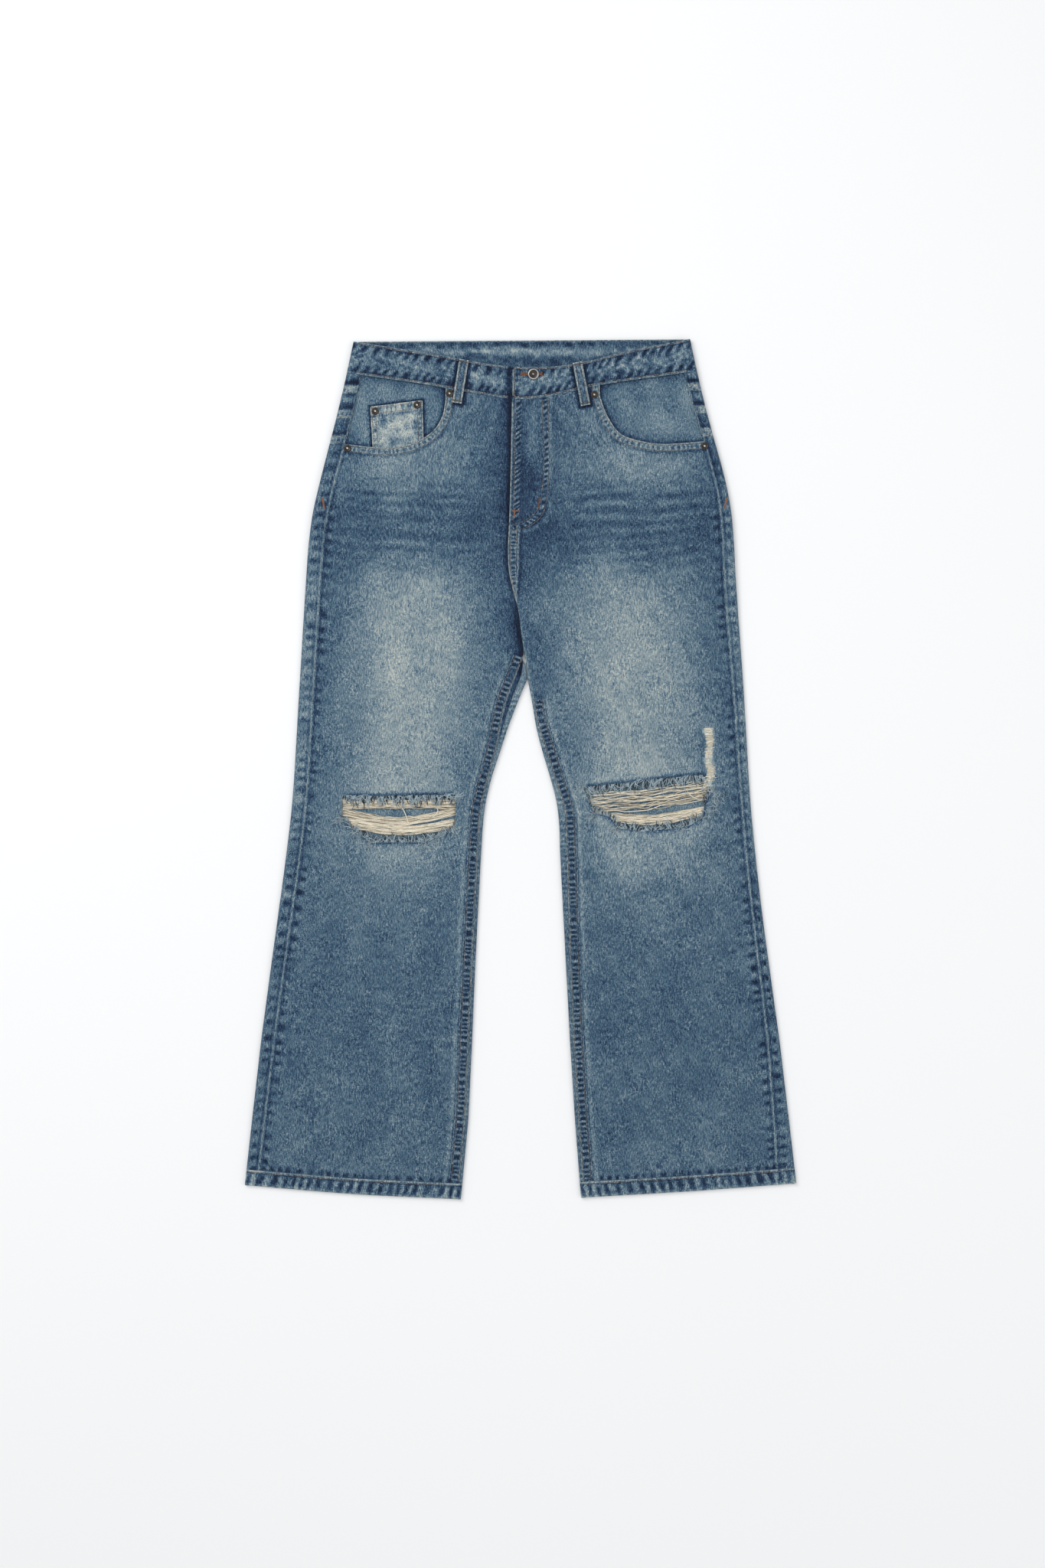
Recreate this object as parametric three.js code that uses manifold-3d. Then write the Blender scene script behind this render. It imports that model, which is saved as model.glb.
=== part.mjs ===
// Ripped flared jeans, laid flat with the front up, built from the pieces that are cut and sewn.
// Millimetres, +Z up. X runs across (+X is the wearer's left), Y up the garment to the waistband,
// and the jeans lie on the plane z = 0. Each panel is a wall of cloth, 0.3 mm from its neighbours.
import * as THREE from "three";
import { mergeVertices } from "three/addons/utils/BufferGeometryUtils.js";
import Module from "manifold-3d";

const { lerp, smoothstep, degToRad } = THREE.MathUtils;

// ---- Driving dimensions -------------------------------------------------------------------
const CLOTH = 1.2;            // one layer of denim
const DOUBLE = 2.4;           // two layers, in the waistband and the hems
const GAP = 0.3;              // between two pieces that are sewn together
const HALF_GAP = GAP / 2;
const FOLD_RADIUS = 2.8;      // of the cloth where a leg folds over at its side

const LEG_TOP = 5.6;          // height of the front's outer face on the legs
const HIP_TOP = 7.4;          // and over the hips, where the pocket layers lie below it
const HIP_LIFT = 1.5;         // the seat lies on the back pockets
const FLY_RISE = 1.6;         // the left front rises over the zip and its facing
const BAND_TOP = 8.0;         // outer face of the waistband
const FLAP_TOP = 9.3;         // outer face of its buttonhole end
const UNDERLAP_TOP = 6.6;     // outer face of its button end, below the buttonhole end
const HEM_HEIGHT = 19.5;
const HEM_TOP = 6.2;

const SHIELD_Z = 3.0;         // undersides of the layers inside the hips
const FACING_Z = 3.2;
const ZIP_Z = 4.5;
const COIN_POCKET_Z = 4.7;
const FLY_FACING_Z = 6.3;
const THREADS_Z = 2.9;
const FRINGE_Z = 4.55;
const THREAD_LAYER = 1.0;
const ZIP_TAPE = 0.8;

const CROTCH_Y = 148;         // where the four leg panels meet
const APEX_Y = 111.5;         // where the two legs part
const FLAP_END_X = -9.6;
const BUTTON = [15.8, 486.6];

const RIGHT = -1;
const LEFT = 1;

// ---- Curves of the outline ----------------------------------------------------------------
// A smooth function through [input, value] pairs listed with rising inputs.
function curve(points) {
  const slope = (i) => {
    const before = points[Math.max(i - 1, 0)];
    const after = points[Math.min(i + 1, points.length - 1)];
    return (after[1] - before[1]) / (after[0] - before[0]);
  };
  return (at) => {
    let i = points.findIndex((p) => p[0] > at) - 1;
    if (i === -2) i = points.length - 2;
    i = Math.max(i, 0);
    const [x0, y0] = points[i];
    const [x1, y1] = points[i + 1];
    const span = x1 - x0;
    const t = (at - x0) / span;
    if (t < 0) return y0 + (at - x0) * slope(i);
    if (t > 1) return y1 + (at - x1) * slope(i + 1);
    const rise = y1 - y0;
    const c = slope(i) * span;
    const d = slope(i + 1) * span;
    return y0 + t * (c + t * (3 * rise - 2 * c - d + t * (c + d - 2 * rise)));
  };
}

// Outer fold of each side, as x at a height y.
const OUTER = {
  [RIGHT]: curve([[-512, -340], [-335, -320], [-184, -299.6], [-52, -282.6], [80, -274],
    [231, -264.6], [307, -258], [383, -240], [458, -221], [527, -206]]),
  [LEFT]: curve([[-510, 340], [-335, 319.4], [-184, 298.6], [-52, 284.4], [99, 275],
    [231, 265.5], [326, 259], [402, 240], [458, 225], [530, 209]]),
};
// Inner fold of each leg, below the point where the legs part.
const INNER = {
  [RIGHT]: curve([[-530, -73.7], [-430, -64.3], [-260, -56.7], [-109, -49], [-52, -45.4],
    [-14, -37], [24, -24.6], [61, -12.3], [99, 2.8], [APEX_Y, 8.3]]),
  [LEFT]: curve([[-528, 74.5], [-392, 64.3], [-203, 54], [-109, 49], [-52, 47.3], [-14, 37.8],
    [24, 26.5], [61, 17], [99, 12.3], [APEX_Y, 8.7]]),
};
// Where the two fronts meet: the centre seam, then the left thigh's edge over the right one.
const CENTRE_FRONT = curve([[APEX_Y, 8.5], [135, 5.7], [165, 1], [203, -3.8], [222, -11],
  [250, -16], [326, -13.2], [458, -10.4]]);
const CENTRE_BACK = curve([[APEX_Y, 8.5], [135, 5.7], [165, 2], [240, 0], [490, 0]]);
// Width of the back panel's strip that shows beside each side seam.
const STRIP = {
  [RIGHT]: curve([[-512, 14.5], [-52, 16.5], [231, 17], [490, 18]]),
  [LEFT]: curve([[-510, 22], [-335, 14], [-52, 10.5], [231, 13.5], [402, 12], [490, 16]]),
};
// How far the inseam lies from the inner fold on the front.
const INSEAM = {
  [RIGHT]: curve([[-530, 3.6], [-33, 3.6], [24, 5], [61, 7], [99, 9.5], [132, 4]]),
  [LEFT]: curve([[-528, 3.6], [-373, 3.6], [-279, 4.5], [-184, 6], [-90, 8], [-52, 7], [5, 4.5],
    [61, 3.6], [132, 3.6]]),
};
// Edges of the waistband, as y at an x.
const FRONT_SEAM = curve([[-214, 488.5], [-113, 473.6], [-13, 456.8], [28, 458], [91, 472.5],
  [149, 481], [222, 491.6]]);
const FRONT_TOP = curve([[-206, 527], [-113, 512.5], [-11, 496], [62, 498.6], [135, 516],
  [209, 530]]);
const BACK_SEAM = curve([[-214, 488.5], [222, 491.6]]);
const BACK_TOP = curve([[-206, 527], [209, 530]]);
// The three seams across the yoke, as y at an x.
const YOKE_SEAMS = [[463, 466.5], [432.5, 439], [401.5, 410.5]]
  .map(([right, left]) => curve([[-218, right], [229, left]]));
const HEM_LINE = {
  [RIGHT]: curve([[-340, -512.5], [-200, -524], [-73.7, -530]]),
  [LEFT]: curve([[75, -528], [205, -520.5], [340, -510.5]]),
};

const underZ = (y) => HIP_LIFT * smoothstep(y, 185, 225);
const topZ = (y) => lerp(LEG_TOP, HIP_TOP, smoothstep(y, 150, 240));
const innerFold = (side, y) => (y >= APEX_Y ? CENTRE_FRONT(y) + side * HALF_GAP : INNER[side](y));
const sideSeam = (side, y) => OUTER[side](y) - side * STRIP[side](y);

// ---- Solids -------------------------------------------------------------------------------
// A geometry whose shared corners are merged and whose faces point out.
function solid(positions, index) {
  const geometry = new THREE.BufferGeometry();
  geometry.setAttribute("position", new THREE.Float32BufferAttribute(positions, 3));
  geometry.setIndex(index);
  return facingOut(geometry);
}

function facingOut(geometry) {
  const p = geometry.attributes.position;
  const index = geometry.index.array;
  const corners = [new THREE.Vector3(), new THREE.Vector3(), new THREE.Vector3()];
  let volume = 0;
  for (let i = 0; i < index.length; i += 3) {
    corners.forEach((corner, k) => corner.fromBufferAttribute(p, index[i + k]));
    volume += corners[0].dot(corners[1].clone().cross(corners[2]));
  }
  if (volume < 0) {
    for (let i = 0; i < index.length; i += 3) {
      [index[i], index[i + 1]] = [index[i + 1], index[i]];
    }
  }
  return geometry;
}

// A wall of cloth. Each row holds [x, y, z] points of its outer face, and the inner face lies
// `thickness` inside it, square to the row in the XZ plane. A ring joins its last point to its
// first. `turn` is the side whose rows run outward over the front and back below.
function wall(rows, thickness, turn, ring = false) {
  const across = rows[0].length;
  const positions = [];
  const normal = (a, b) => {
    const dx = b[0] - a[0];
    const dz = b[2] - a[2];
    const length = Math.hypot(dx, dz);
    return [turn * dz / length, -turn * dx / length];
  };
  const inside = (row, i) => {
    const before = ring ? row[(i + across - 1) % across] : row[i - 1];
    const after = ring ? row[(i + 1) % across] : row[i + 1];
    const n = before ? normal(before, row[i]) : normal(row[i], after);
    const m = after ? normal(row[i], after) : n;
    const reach = thickness / (1 + n[0] * m[0] + n[1] * m[1]);
    const [x, y, z] = row[i];
    return [x + (n[0] + m[0]) * reach, y, z + (n[1] + m[1]) * reach];
  };
  rows.forEach((row) => row.forEach((point, i) => positions.push(...point, ...inside(row, i))));
  const outerAt = (r, c) => 2 * (r * across + (c % across));
  const innerAt = (r, c) => outerAt(r, c) + 1;
  const index = [];
  const quad = (a, b, c, d) => index.push(a, b, c, a, c, d);
  const columns = ring ? across : across - 1;
  const last = rows.length - 1;
  for (let c = 0; c < columns; c += 1) {
    for (let r = 0; r < last; r += 1) {
      quad(outerAt(r, c), outerAt(r, c + 1), outerAt(r + 1, c + 1), outerAt(r + 1, c));
      quad(innerAt(r, c), innerAt(r + 1, c), innerAt(r + 1, c + 1), innerAt(r, c + 1));
    }
    quad(outerAt(0, c), innerAt(0, c), innerAt(0, c + 1), outerAt(0, c + 1));
    quad(outerAt(last, c), outerAt(last, c + 1), innerAt(last, c + 1), innerAt(last, c));
  }
  if (!ring) {
    const end = across - 1;
    for (let r = 0; r < last; r += 1) {
      quad(outerAt(r, 0), outerAt(r + 1, 0), innerAt(r + 1, 0), innerAt(r, 0));
      quad(outerAt(r, end), innerAt(r, end), innerAt(r + 1, end), outerAt(r + 1, end));
    }
  }
  return solid(positions, index);
}

// A flat piece with the outline of a shape, from height z up.
function patch(shape, z, thickness, curveSegments = 6) {
  const geometry = new THREE.ExtrudeGeometry(shape, {
    depth: thickness, bevelEnabled: false, curveSegments,
  });
  geometry.translate(0, 0, z);
  return geometry;
}

function outline(points) {
  return new THREE.Shape(points.map(([x, y]) => new THREE.Vector2(x, y)));
}

const manifoldModule = await Module();
manifoldModule.setup();

function toManifold(geometry) {
  const bare = geometry.clone();
  bare.deleteAttribute("normal");
  bare.deleteAttribute("uv");
  const merged = mergeVertices(bare, 1e-4);
  return new manifoldModule.Manifold(new manifoldModule.Mesh({
    numProp: 3,
    vertProperties: new Float32Array(merged.attributes.position.array),
    triVerts: new Uint32Array(merged.index.array),
  }));
}

function cut(geometry, tool) {
  const mesh = toManifold(geometry).subtract(toManifold(tool)).getMesh();
  return solid(Array.from(mesh.vertProperties), Array.from(mesh.triVerts));
}

function join(a, b) {
  const mesh = toManifold(a).add(toManifold(b)).getMesh();
  return solid(Array.from(mesh.vertProperties), Array.from(mesh.triVerts));
}

// A turned piece: [radius, height] points from the axis below to the axis above.
function turned(profile, segments) {
  const points = profile.map(([r, h]) => new THREE.Vector2(r, h));
  const geometry = new THREE.LatheGeometry(points, segments);
  geometry.rotateX(Math.PI / 2);
  return geometry;
}

// ---- Leg panels ---------------------------------------------------------------------------
const HIP_ROWS = [383, 345, 307, 269, 231, 205, 185, 165, CROTCH_Y, 140, 132, APEX_Y];
const LEG_ROWS = [99, 61, 24, -14, -52, -109, -184, -260, -335, -430];
const FRONT_COLUMNS = [0, 0.1, 0.2, 0.28, 0.46, 0.64, 0.82, 1];
const UNDERSIDE_COLUMNS = [0.2, 0.4, 0.6, 0.8];
const FOLD_ANGLES = [90, 45, 0, -45, -90];

const hemTop = (side) => (x) => HEM_LINE[side](x) + HEM_HEIGHT;

// A point [x, y] whose x depends on y, on a row whose y depends on x.
function onRow(rowAt, xAt) {
  let y = rowAt(0);
  for (let i = 0; i < 8; i += 1) {
    y = rowAt(xAt(y));
  }
  return [xAt(y), y];
}

function foldPoint(edge, outward, low, high, angle) {
  const turn = degToRad(angle);
  const x = edge - outward * FOLD_RADIUS * (1 - Math.cos(turn));
  return [x, (low + high) / 2 + Math.sin(turn) * (high - low) / 2];
}

// The front's edge stands clear of the back panel where that turns up at the crotch.
function frontInnerEdge(side, y) {
  const inset = y >= CROTCH_Y ? 0
    : y >= 132 ? lerp(INSEAM[side](132), 0, (y - 132) / (CROTCH_Y - 132))
      : INSEAM[side](y) + HALF_GAP;
  return innerFold(side, y) + side * inset;
}

function flyRise(side, u, y) {
  if (side === RIGHT) return 0;
  return FLY_RISE * (1 - smoothstep(u, 0.2, 0.28)) * smoothstep(y, 265, 300);
}

function frontPanel(side) {
  const seamAtSide = side * 222;
  const low = YOKE_SEAMS[2];
  const share = (k) => (YOKE_SEAMS[k](seamAtSide) - low(seamAtSide))
    / (FRONT_SEAM(seamAtSide) - low(seamAtSide));
  const rows = [
    (x) => FRONT_SEAM(x) - GAP,
    ...[0, 1].map((k) => (x) => lerp(low(x), FRONT_SEAM(x), share(k))),
    low,
    ...[...HIP_ROWS, ...LEG_ROWS].map((y) => () => y),
    (x) => hemTop(side)(x) + GAP,
  ];
  return wall(rows.map((rowAt) => FRONT_COLUMNS.map((u) => {
    const [x, y] = onRow(rowAt, (at) => lerp(
      frontInnerEdge(side, at), sideSeam(side, at) - side * HALF_GAP, u));
    return [x, y, topZ(y) + flyRise(side, u, y)];
  })), CLOTH, side);
}

// The last points of a back panel's row: flat to the centre back seam above the crotch, upright
// just below it, and folded up and over to the inseam on the leg.
function innerEnd(side, y) {
  const low = underZ(y);
  const high = topZ(y);
  const edge = innerFold(side, y);
  const angles = [...FOLD_ANGLES].reverse();
  if (y >= CROTCH_Y) {
    const seam = CENTRE_BACK(y) + side * HALF_GAP;
    return [9, 7, 5, 3, 1.5, 0].map((from) => [seam + side * from, low]);
  }
  const quarter = angles.slice(0, 3).map((angle) => foldPoint(edge, -side, low, high, angle));
  if (y > 132) {
    return [...quarter, ...[0.5, 0.75, 1].map((t) => [edge, lerp(quarter[2][1], high, t)])];
  }
  const over = angles.slice(3).map((angle) => foldPoint(edge, -side, low, high, angle));
  return [...quarter, ...over, [edge + side * (INSEAM[side](y) - HALF_GAP), high]];
}

// One row of a back panel: the strip on the front, the side fold, the underside, the inner end.
function backRow(side, frontRow, backRowAt) {
  const seam = (y) => sideSeam(side, y) + side * HALF_GAP;
  const stripEdge = (y) => OUTER[side](y) - side * FOLD_RADIUS;
  const strip = [0, 0.5].map((t) => {
    const [x, y] = onRow(frontRow, (at) => lerp(seam(at), stripEdge(at), t));
    return [x, y, topZ(y)];
  });
  const fold = FOLD_ANGLES.map((angle) => {
    const xAt = (y) => foldPoint(OUTER[side](y), side, underZ(y), topZ(y), angle)[0];
    const [x, y] = onRow(angle > 0 ? frontRow : backRowAt, xAt);
    return [x, y, foldPoint(OUTER[side](y), side, underZ(y), topZ(y), angle)[1]];
  });
  const inner = Array.from({ length: 6 }, (_, i) => {
    const [x, y] = onRow(backRowAt, (at) => innerEnd(side, at)[i][0]);
    return [x, y, innerEnd(side, y)[i][1]];
  });
  const [from, to] = [fold[4], inner[0]];
  const underside = UNDERSIDE_COLUMNS.map((t) => {
    const x = lerp(from[0], to[0], t);
    const y = backRowAt(x);
    return [x, y, underZ(y)];
  });
  return [...strip, ...fold, ...underside, ...inner];
}

function backPanel(side) {
  const top = (x) => YOKE_SEAMS[2](x) - HALF_GAP;
  const bottom = (x) => hemTop(side)(x) + GAP;
  const rows = [top, ...[...HIP_ROWS, ...LEG_ROWS].map((y) => () => y), bottom];
  return wall(rows.map((rowAt) => backRow(side, rowAt, rowAt)), CLOTH, side);
}

// One band of the yoke, between the seam `below` and the one above it or the waistband.
function yokeBand(side, below) {
  const low = (x) => YOKE_SEAMS[below](x) + HALF_GAP;
  const seamAbove = (x) => YOKE_SEAMS[below - 1](x) - HALF_GAP;
  const frontTop = below > 0 ? seamAbove : (x) => FRONT_SEAM(x) - GAP;
  const backTop = below > 0 ? seamAbove : (x) => BACK_SEAM(x) - GAP;
  return wall([backRow(side, frontTop, backTop), backRow(side, low, low)], CLOTH, side);
}

function hem(side) {
  const row = (rowAt) => {
    const place = (xAt, z) => {
      const [x, y] = onRow(rowAt, xAt);
      return [x, y, z];
    };
    const arc = (edgeAt, outward, angles) => angles.map((angle) => place(
      (y) => foldPoint(edgeAt(y), outward, 0, HEM_TOP, angle)[0],
      foldPoint(0, outward, 0, HEM_TOP, angle)[1],
    ));
    const inner = INNER[side];
    const outer = OUTER[side];
    const flat = (z, shares) => shares.map((t) => place(
      (y) => lerp(outer(y) - side * FOLD_RADIUS, inner(y) + side * FOLD_RADIUS, t), z));
    return [
      ...arc(outer, side, FOLD_ANGLES),
      ...flat(0, [0.25, 0.5, 0.75]),
      ...arc(inner, -side, [...FOLD_ANGLES].reverse()),
      ...flat(HEM_TOP, [0.75, 0.5, 0.25]),
    ];
  };
  return wall([row(hemTop(side)), row(HEM_LINE[side])], DOUBLE, side, true);
}

// ---- Pocket scoops and rips, cut through the fronts ----------------------------------------
const SCOOPS = {
  [RIGHT]: [[-92, 458], [-95, 439], [-102, 424], [-115, 411], [-142, 399], [-176, 396.4],
    [-216, 401]],
  [LEFT]: [[97, 462], [103.5, 443], [110, 430], [119, 417], [133, 408.5], [172, 400.7],
    [225, 404]],
};

function scoopTool(side) {
  const [first, ...rest] = SCOOPS[side];
  const end = rest[rest.length - 1];
  const shape = new THREE.Shape();
  shape.moveTo(first[0], 560);
  shape.lineTo(...first);
  shape.splineThru(rest.map(([x, y]) => new THREE.Vector2(x, y)));
  shape.lineTo(side * 280, end[1]);
  shape.lineTo(side * 280, 560);
  return patch(shape, 0, 20, 2);
}

const RIPS = {
  [RIGHT]: [[-220, -33], [-220, -58], [-203, -75.6], [-183, -90], [-123, -90], [-99, -82],
    [-81, -73], [-79, -31]],
  [LEFT]: [[76.5, -22], [90, -54], [109.6, -58], [120, -71], [143, -75], [176, -74.5],
    [202.5, -71], [223.8, -60.5], [228, -39], [236, -23.4], [223.8, -6.2], [150, -14]],
};
// Frayed warp along each rip's upper and lower edge, as one outline of its reach.
const FRINGES = {
  rip_fringe_right_upper: [[-217, -33.6], [-217, -46], [-84, -44], [-84, -31.6]],
  rip_fringe_right_lower: [[-201, -76], [-183, -89.4], [-123, -89.4], [-101, -82], [-101, -73],
    [-124, -79], [-182, -79], [-201, -66]],
  rip_fringe_left_upper: [[81, -23.2], [86, -35], [150, -28], [222, -21], [222, -7],
    [150, -14.6]],
  rip_fringe_left_lower: [[112, -59], [121, -70.3], [143, -74.4], [176, -73.9], [202, -70.4],
    [221, -60.6], [221, -50], [176, -64], [143, -65], [114, -50]],
};
// Each band of weft left across a rip: its two ends and its middle, as [x, upper y, lower y].
const THREAD_BANDS = {
  rip_threads_right_upper: [[-223, -36, -47], [-150, -39, -52.5], [-76, -35, -46]],
  rip_threads_right_middle: [[-223, -54, -62], [-150, -58.5, -69.5], [-77, -52, -61]],
  rip_threads_right_lower: [[-212, -68, -75], [-150, -75, -84], [-78, -66, -73]],
  rip_threads_left_upper: [[80, -28, -38], [158, -26, -44], [240, -16, -34]],
  rip_threads_left_lower: [[88, -46, -53], [158, -53, -68], [230, -43, -54]],
};

function threadBand([start, middle, end]) {
  const edge = (k) => curve([start, middle, end].map((p) => [p[0], p[k]]));
  const steps = Array.from({ length: 9 }, (_, i) => lerp(start[0], end[0], i / 8));
  const upper = steps.map((x) => [x, edge(1)(x)]);
  const lower = steps.map((x) => [x, edge(2)(x)]).reverse();
  return patch(outline([...upper, ...lower]), THREADS_Z, THREAD_LAYER);
}

function rippedFront(side) {
  const scooped = cut(frontPanel(side), scoopTool(side));
  return cut(scooped, patch(outline(RIPS[side]), 0, 20));
}

// ---- Waistband ----------------------------------------------------------------------------
// One folded strip, from the buttonhole end over the left hip, round the back, and over the
// right hip to the button end, which lies below the buttonhole end.
function waistband() {
  const radius = 3.2;
  const middle = (BAND_TOP + HIP_LIFT) / 2;
  const rise = (BAND_TOP - HIP_LIFT) / 2;
  const flapShares = [0, 0.1, 0.2, 0.3, 0.45, 0.6, 0.75, 0.9];
  const backShares = [0.15, 0.3, 0.5, 0.7, 0.85];
  const rightShares = [0.1, 0.25, 0.4, 0.55, 0.7, 0.85, 0.93, 1];
  const row = (frontAt, backAt) => {
    const place = (rowAt, xAt, z) => {
      const [x, y] = onRow(rowAt, xAt);
      return [x, y, z];
    };
    const edge = (side) => (y) => OUTER[side](y) - side * radius;
    const fold = (side, angles) => angles.map((angle) => place(
      angle > 0 ? frontAt : backAt,
      (y) => edge(side)(y) + side * radius * Math.cos(degToRad(angle)),
      middle + rise * Math.sin(degToRad(angle)),
    ));
    return [
      ...flapShares.map((t) => place(frontAt, (y) => lerp(FLAP_END_X, edge(LEFT)(y), t),
        lerp(FLAP_TOP, BAND_TOP, smoothstep(t, 0.2, 0.3)))),
      ...fold(LEFT, FOLD_ANGLES),
      ...backShares.map((t) => place(backAt, (y) => lerp(edge(LEFT)(y), edge(RIGHT)(y), t),
        HIP_LIFT)),
      ...fold(RIGHT, [...FOLD_ANGLES].reverse()),
      ...rightShares.map((t) => place(frontAt, (y) => lerp(edge(RIGHT)(y), -13, t),
        lerp(BAND_TOP, UNDERLAP_TOP, smoothstep(t, 0.93, 1)))),
      place(frontAt, () => 8, UNDERLAP_TOP),
      place(frontAt, () => 29, UNDERLAP_TOP),
    ];
  };
  const band = wall([row(FRONT_TOP, BACK_TOP), row(FRONT_SEAM, BACK_SEAM)], DOUBLE, LEFT);
  const [x, y] = BUTTON;
  const slot = outline([[x - 11, y - 2.5], [x + 11, y - 2.5], [x + 11, y + 2.5],
    [x - 11, y + 2.5]]);
  return cut(band, patch(slot, (FLAP_TOP - DOUBLE + UNDERLAP_TOP) / 2, 6));
}

// A belt loop on the front, in its own frame: its top end on the band, its foot on the panel.
function frontLoop() {
  const length = 54;
  const width = 12;
  const over = BAND_TOP + GAP;
  const foot = HIP_TOP + GAP;
  const half = length / 2;
  const step = -0.28 * half;
  const profile = [
    [half, over], [step, over], [step - 7, foot], [-half, foot],
    [-half, foot + CLOTH], [step - 7, foot + CLOTH], [step, over + CLOTH], [half, over + CLOTH],
  ];
  const geometry = new THREE.ExtrudeGeometry(outline(profile), {
    depth: width, bevelEnabled: false,
  });
  geometry.translate(0, 0, -width / 2);
  geometry.rotateX(Math.PI / 2);
  geometry.rotateZ(Math.PI / 2);
  return geometry;
}

// ---- Metal --------------------------------------------------------------------------------
function button() {
  const face = FLAP_TOP + GAP;
  const base = UNDERLAP_TOP + GAP;
  return turned([
    [0, base], [2, base], [2, face], [6.6, face], [7, face + 0.5], [6.9, face + 1.6],
    [6.2, face + 2.3], [5.2, face + 2.3], [4.4, face + 1.5], [2.6, face + 1.3],
    [1.8, face + 1.9], [0, face + 2.1],
  ], 32);
}

function rivet(z) {
  return turned([
    [0, z], [4.6, z], [4.65, z + 0.4], [4.1, z + 1], [3.1, z + 1.2], [2.3, z + 0.9],
    [1.5, z + 1.3], [0, z + 1.5],
  ], 20);
}

// ---- Flat pieces inside and below the hips --------------------------------------------------
function pocketFacing(side) {
  const atSide = (y) => OUTER[side](y) - side * 6;
  const xs = [atSide(488), side * 180, side * 140, side * 100, side * 76];
  const upper = xs.map((x) => [x, FRONT_SEAM(x) - GAP]);
  const bottom = [[side * 76, 384], [atSide(374), 374], [atSide(430), 430]];
  return patch(outline([...upper, ...bottom]), FACING_Z, CLOTH);
}

function zipClosed() {
  const tape = patch(outline([[-18, 300], [12, 300], [12, 454], [-18, 454]]), ZIP_Z, ZIP_TAPE);
  const slider = patch(outline([[-7.5, 440], [-5.5, 436], [-0.5, 436], [1.5, 440], [1.5, 449],
    [-7.5, 449]]), ZIP_Z, 1.5);
  return join(tape, slider);
}

function backPocket(side) {
  const shape = outline([[36, 384], [180, 384], [176, 246], [106, 224], [40, 246]]
    .map(([x, y]) => [side * x, y]));
  return patch(shape, 0, CLOTH);
}

function backLoop(x) {
  return patch(outline([[x - 6, 473], [x + 6, 473], [x + 6, 524], [x - 6, 524]]), 0, CLOTH);
}

// ---- Finish ---------------------------------------------------------------------------------
const finish = (color, roughness, metalness = 0) => () => new THREE.MeshStandardMaterial({
  color, roughness, metalness,
});
const denim = finish(0x687f8e, 0.9);
const bandDenim = finish(0x506574, 0.9);
const paleDenim = finish(0x97a0a3, 0.9);
const insideDenim = finish(0x6c7d86, 0.92);
const ecruYarn = finish(0xb7b19a, 0.95);
const blueYarn = finish(0x6b7f8c, 0.95);
const zipCloth = finish(0x7d6a4a, 0.8);
const brushedSteel = finish(0x9a9c99, 0.35, 1);

// ---- The jeans ------------------------------------------------------------------------------
const jeans = new THREE.Group();

function add(name, geometry, material, place = [0, 0, 0], turn = 0) {
  const mesh = new THREE.Mesh(geometry, material());
  mesh.name = name;
  mesh.position.set(...place);
  mesh.rotation.z = degToRad(turn);
  jeans.add(mesh);
}

for (const [word, side] of [["right", RIGHT], ["left", LEFT]]) {
  add(`front_${word}`, rippedFront(side), denim);
  add(`back_${word}`, backPanel(side), denim);
  ["top", "mid", "low"].forEach((band, k) => add(`yoke_${band}_${word}`, yokeBand(side, k), denim));
  add(`hem_${word}`, hem(side), bandDenim);
  add(`pocket_facing_${word}`, pocketFacing(side), insideDenim);
  add(`back_pocket_${word}`, backPocket(side), denim);
}

add("waistband", waistband(), bandDenim);
add("loop_front_right", frontLoop(), bandDenim, [-74, 478, 0], -9.5);
add("loop_front_left", frontLoop(), bandDenim, [75, 475, 0], 11);
add("loop_back_right", backLoop(-128), bandDenim);
add("loop_back_centre", backLoop(-4), bandDenim);
add("loop_back_left", backLoop(128), bandDenim);

add("coin_pocket", patch(outline([[-185.4, 447], [-120.8, 455], [-119, 380], [-181, 375]]),
  COIN_POCKET_Z, CLOTH), paleDenim);
add("fly_shield", patch(outline([[-32, 300], [26, 300], [26, 455], [-32, 455]]),
  SHIELD_Z, CLOTH), insideDenim);
add("fly_facing", patch(outline([[-5, 312], [12, 318], [24, 332], [28, 350], [28, 456], [-5, 455]]),
  FLY_FACING_Z, CLOTH), insideDenim);
add("zip_closed", zipClosed(), zipCloth);

add("waist_button", button(), brushedSteel, [BUTTON[0], BUTTON[1], 0]);
const ON_FRONT = HIP_TOP + GAP;
const ON_COIN_POCKET = COIN_POCKET_Z + CLOTH + GAP;
const RIVETS = {
  rivet_scoop_right_inner: [-87.4, 463, ON_FRONT],
  rivet_scoop_right_outer: [-213.3, 395.5, ON_FRONT],
  rivet_coin_inner: [-127.6, 449, ON_COIN_POCKET],
  rivet_coin_outer: [-179, 441.4, ON_COIN_POCKET],
  rivet_scoop_left_inner: [91, 461.5, ON_FRONT],
  rivet_scoop_left_outer: [226.8, 398.3, ON_FRONT],
};
for (const [name, [x, y, z]] of Object.entries(RIVETS)) {
  add(name, rivet(z), brushedSteel, [x, y, 0]);
}

for (const [name, points] of Object.entries(FRINGES)) {
  add(name, patch(outline(points), FRINGE_Z, THREAD_LAYER), blueYarn);
}
for (const [name, points] of Object.entries(THREAD_BANDS)) {
  add(name, threadBand(points), ecruYarn);
}

export default jeans;
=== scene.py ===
import math
from functools import partial

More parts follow.
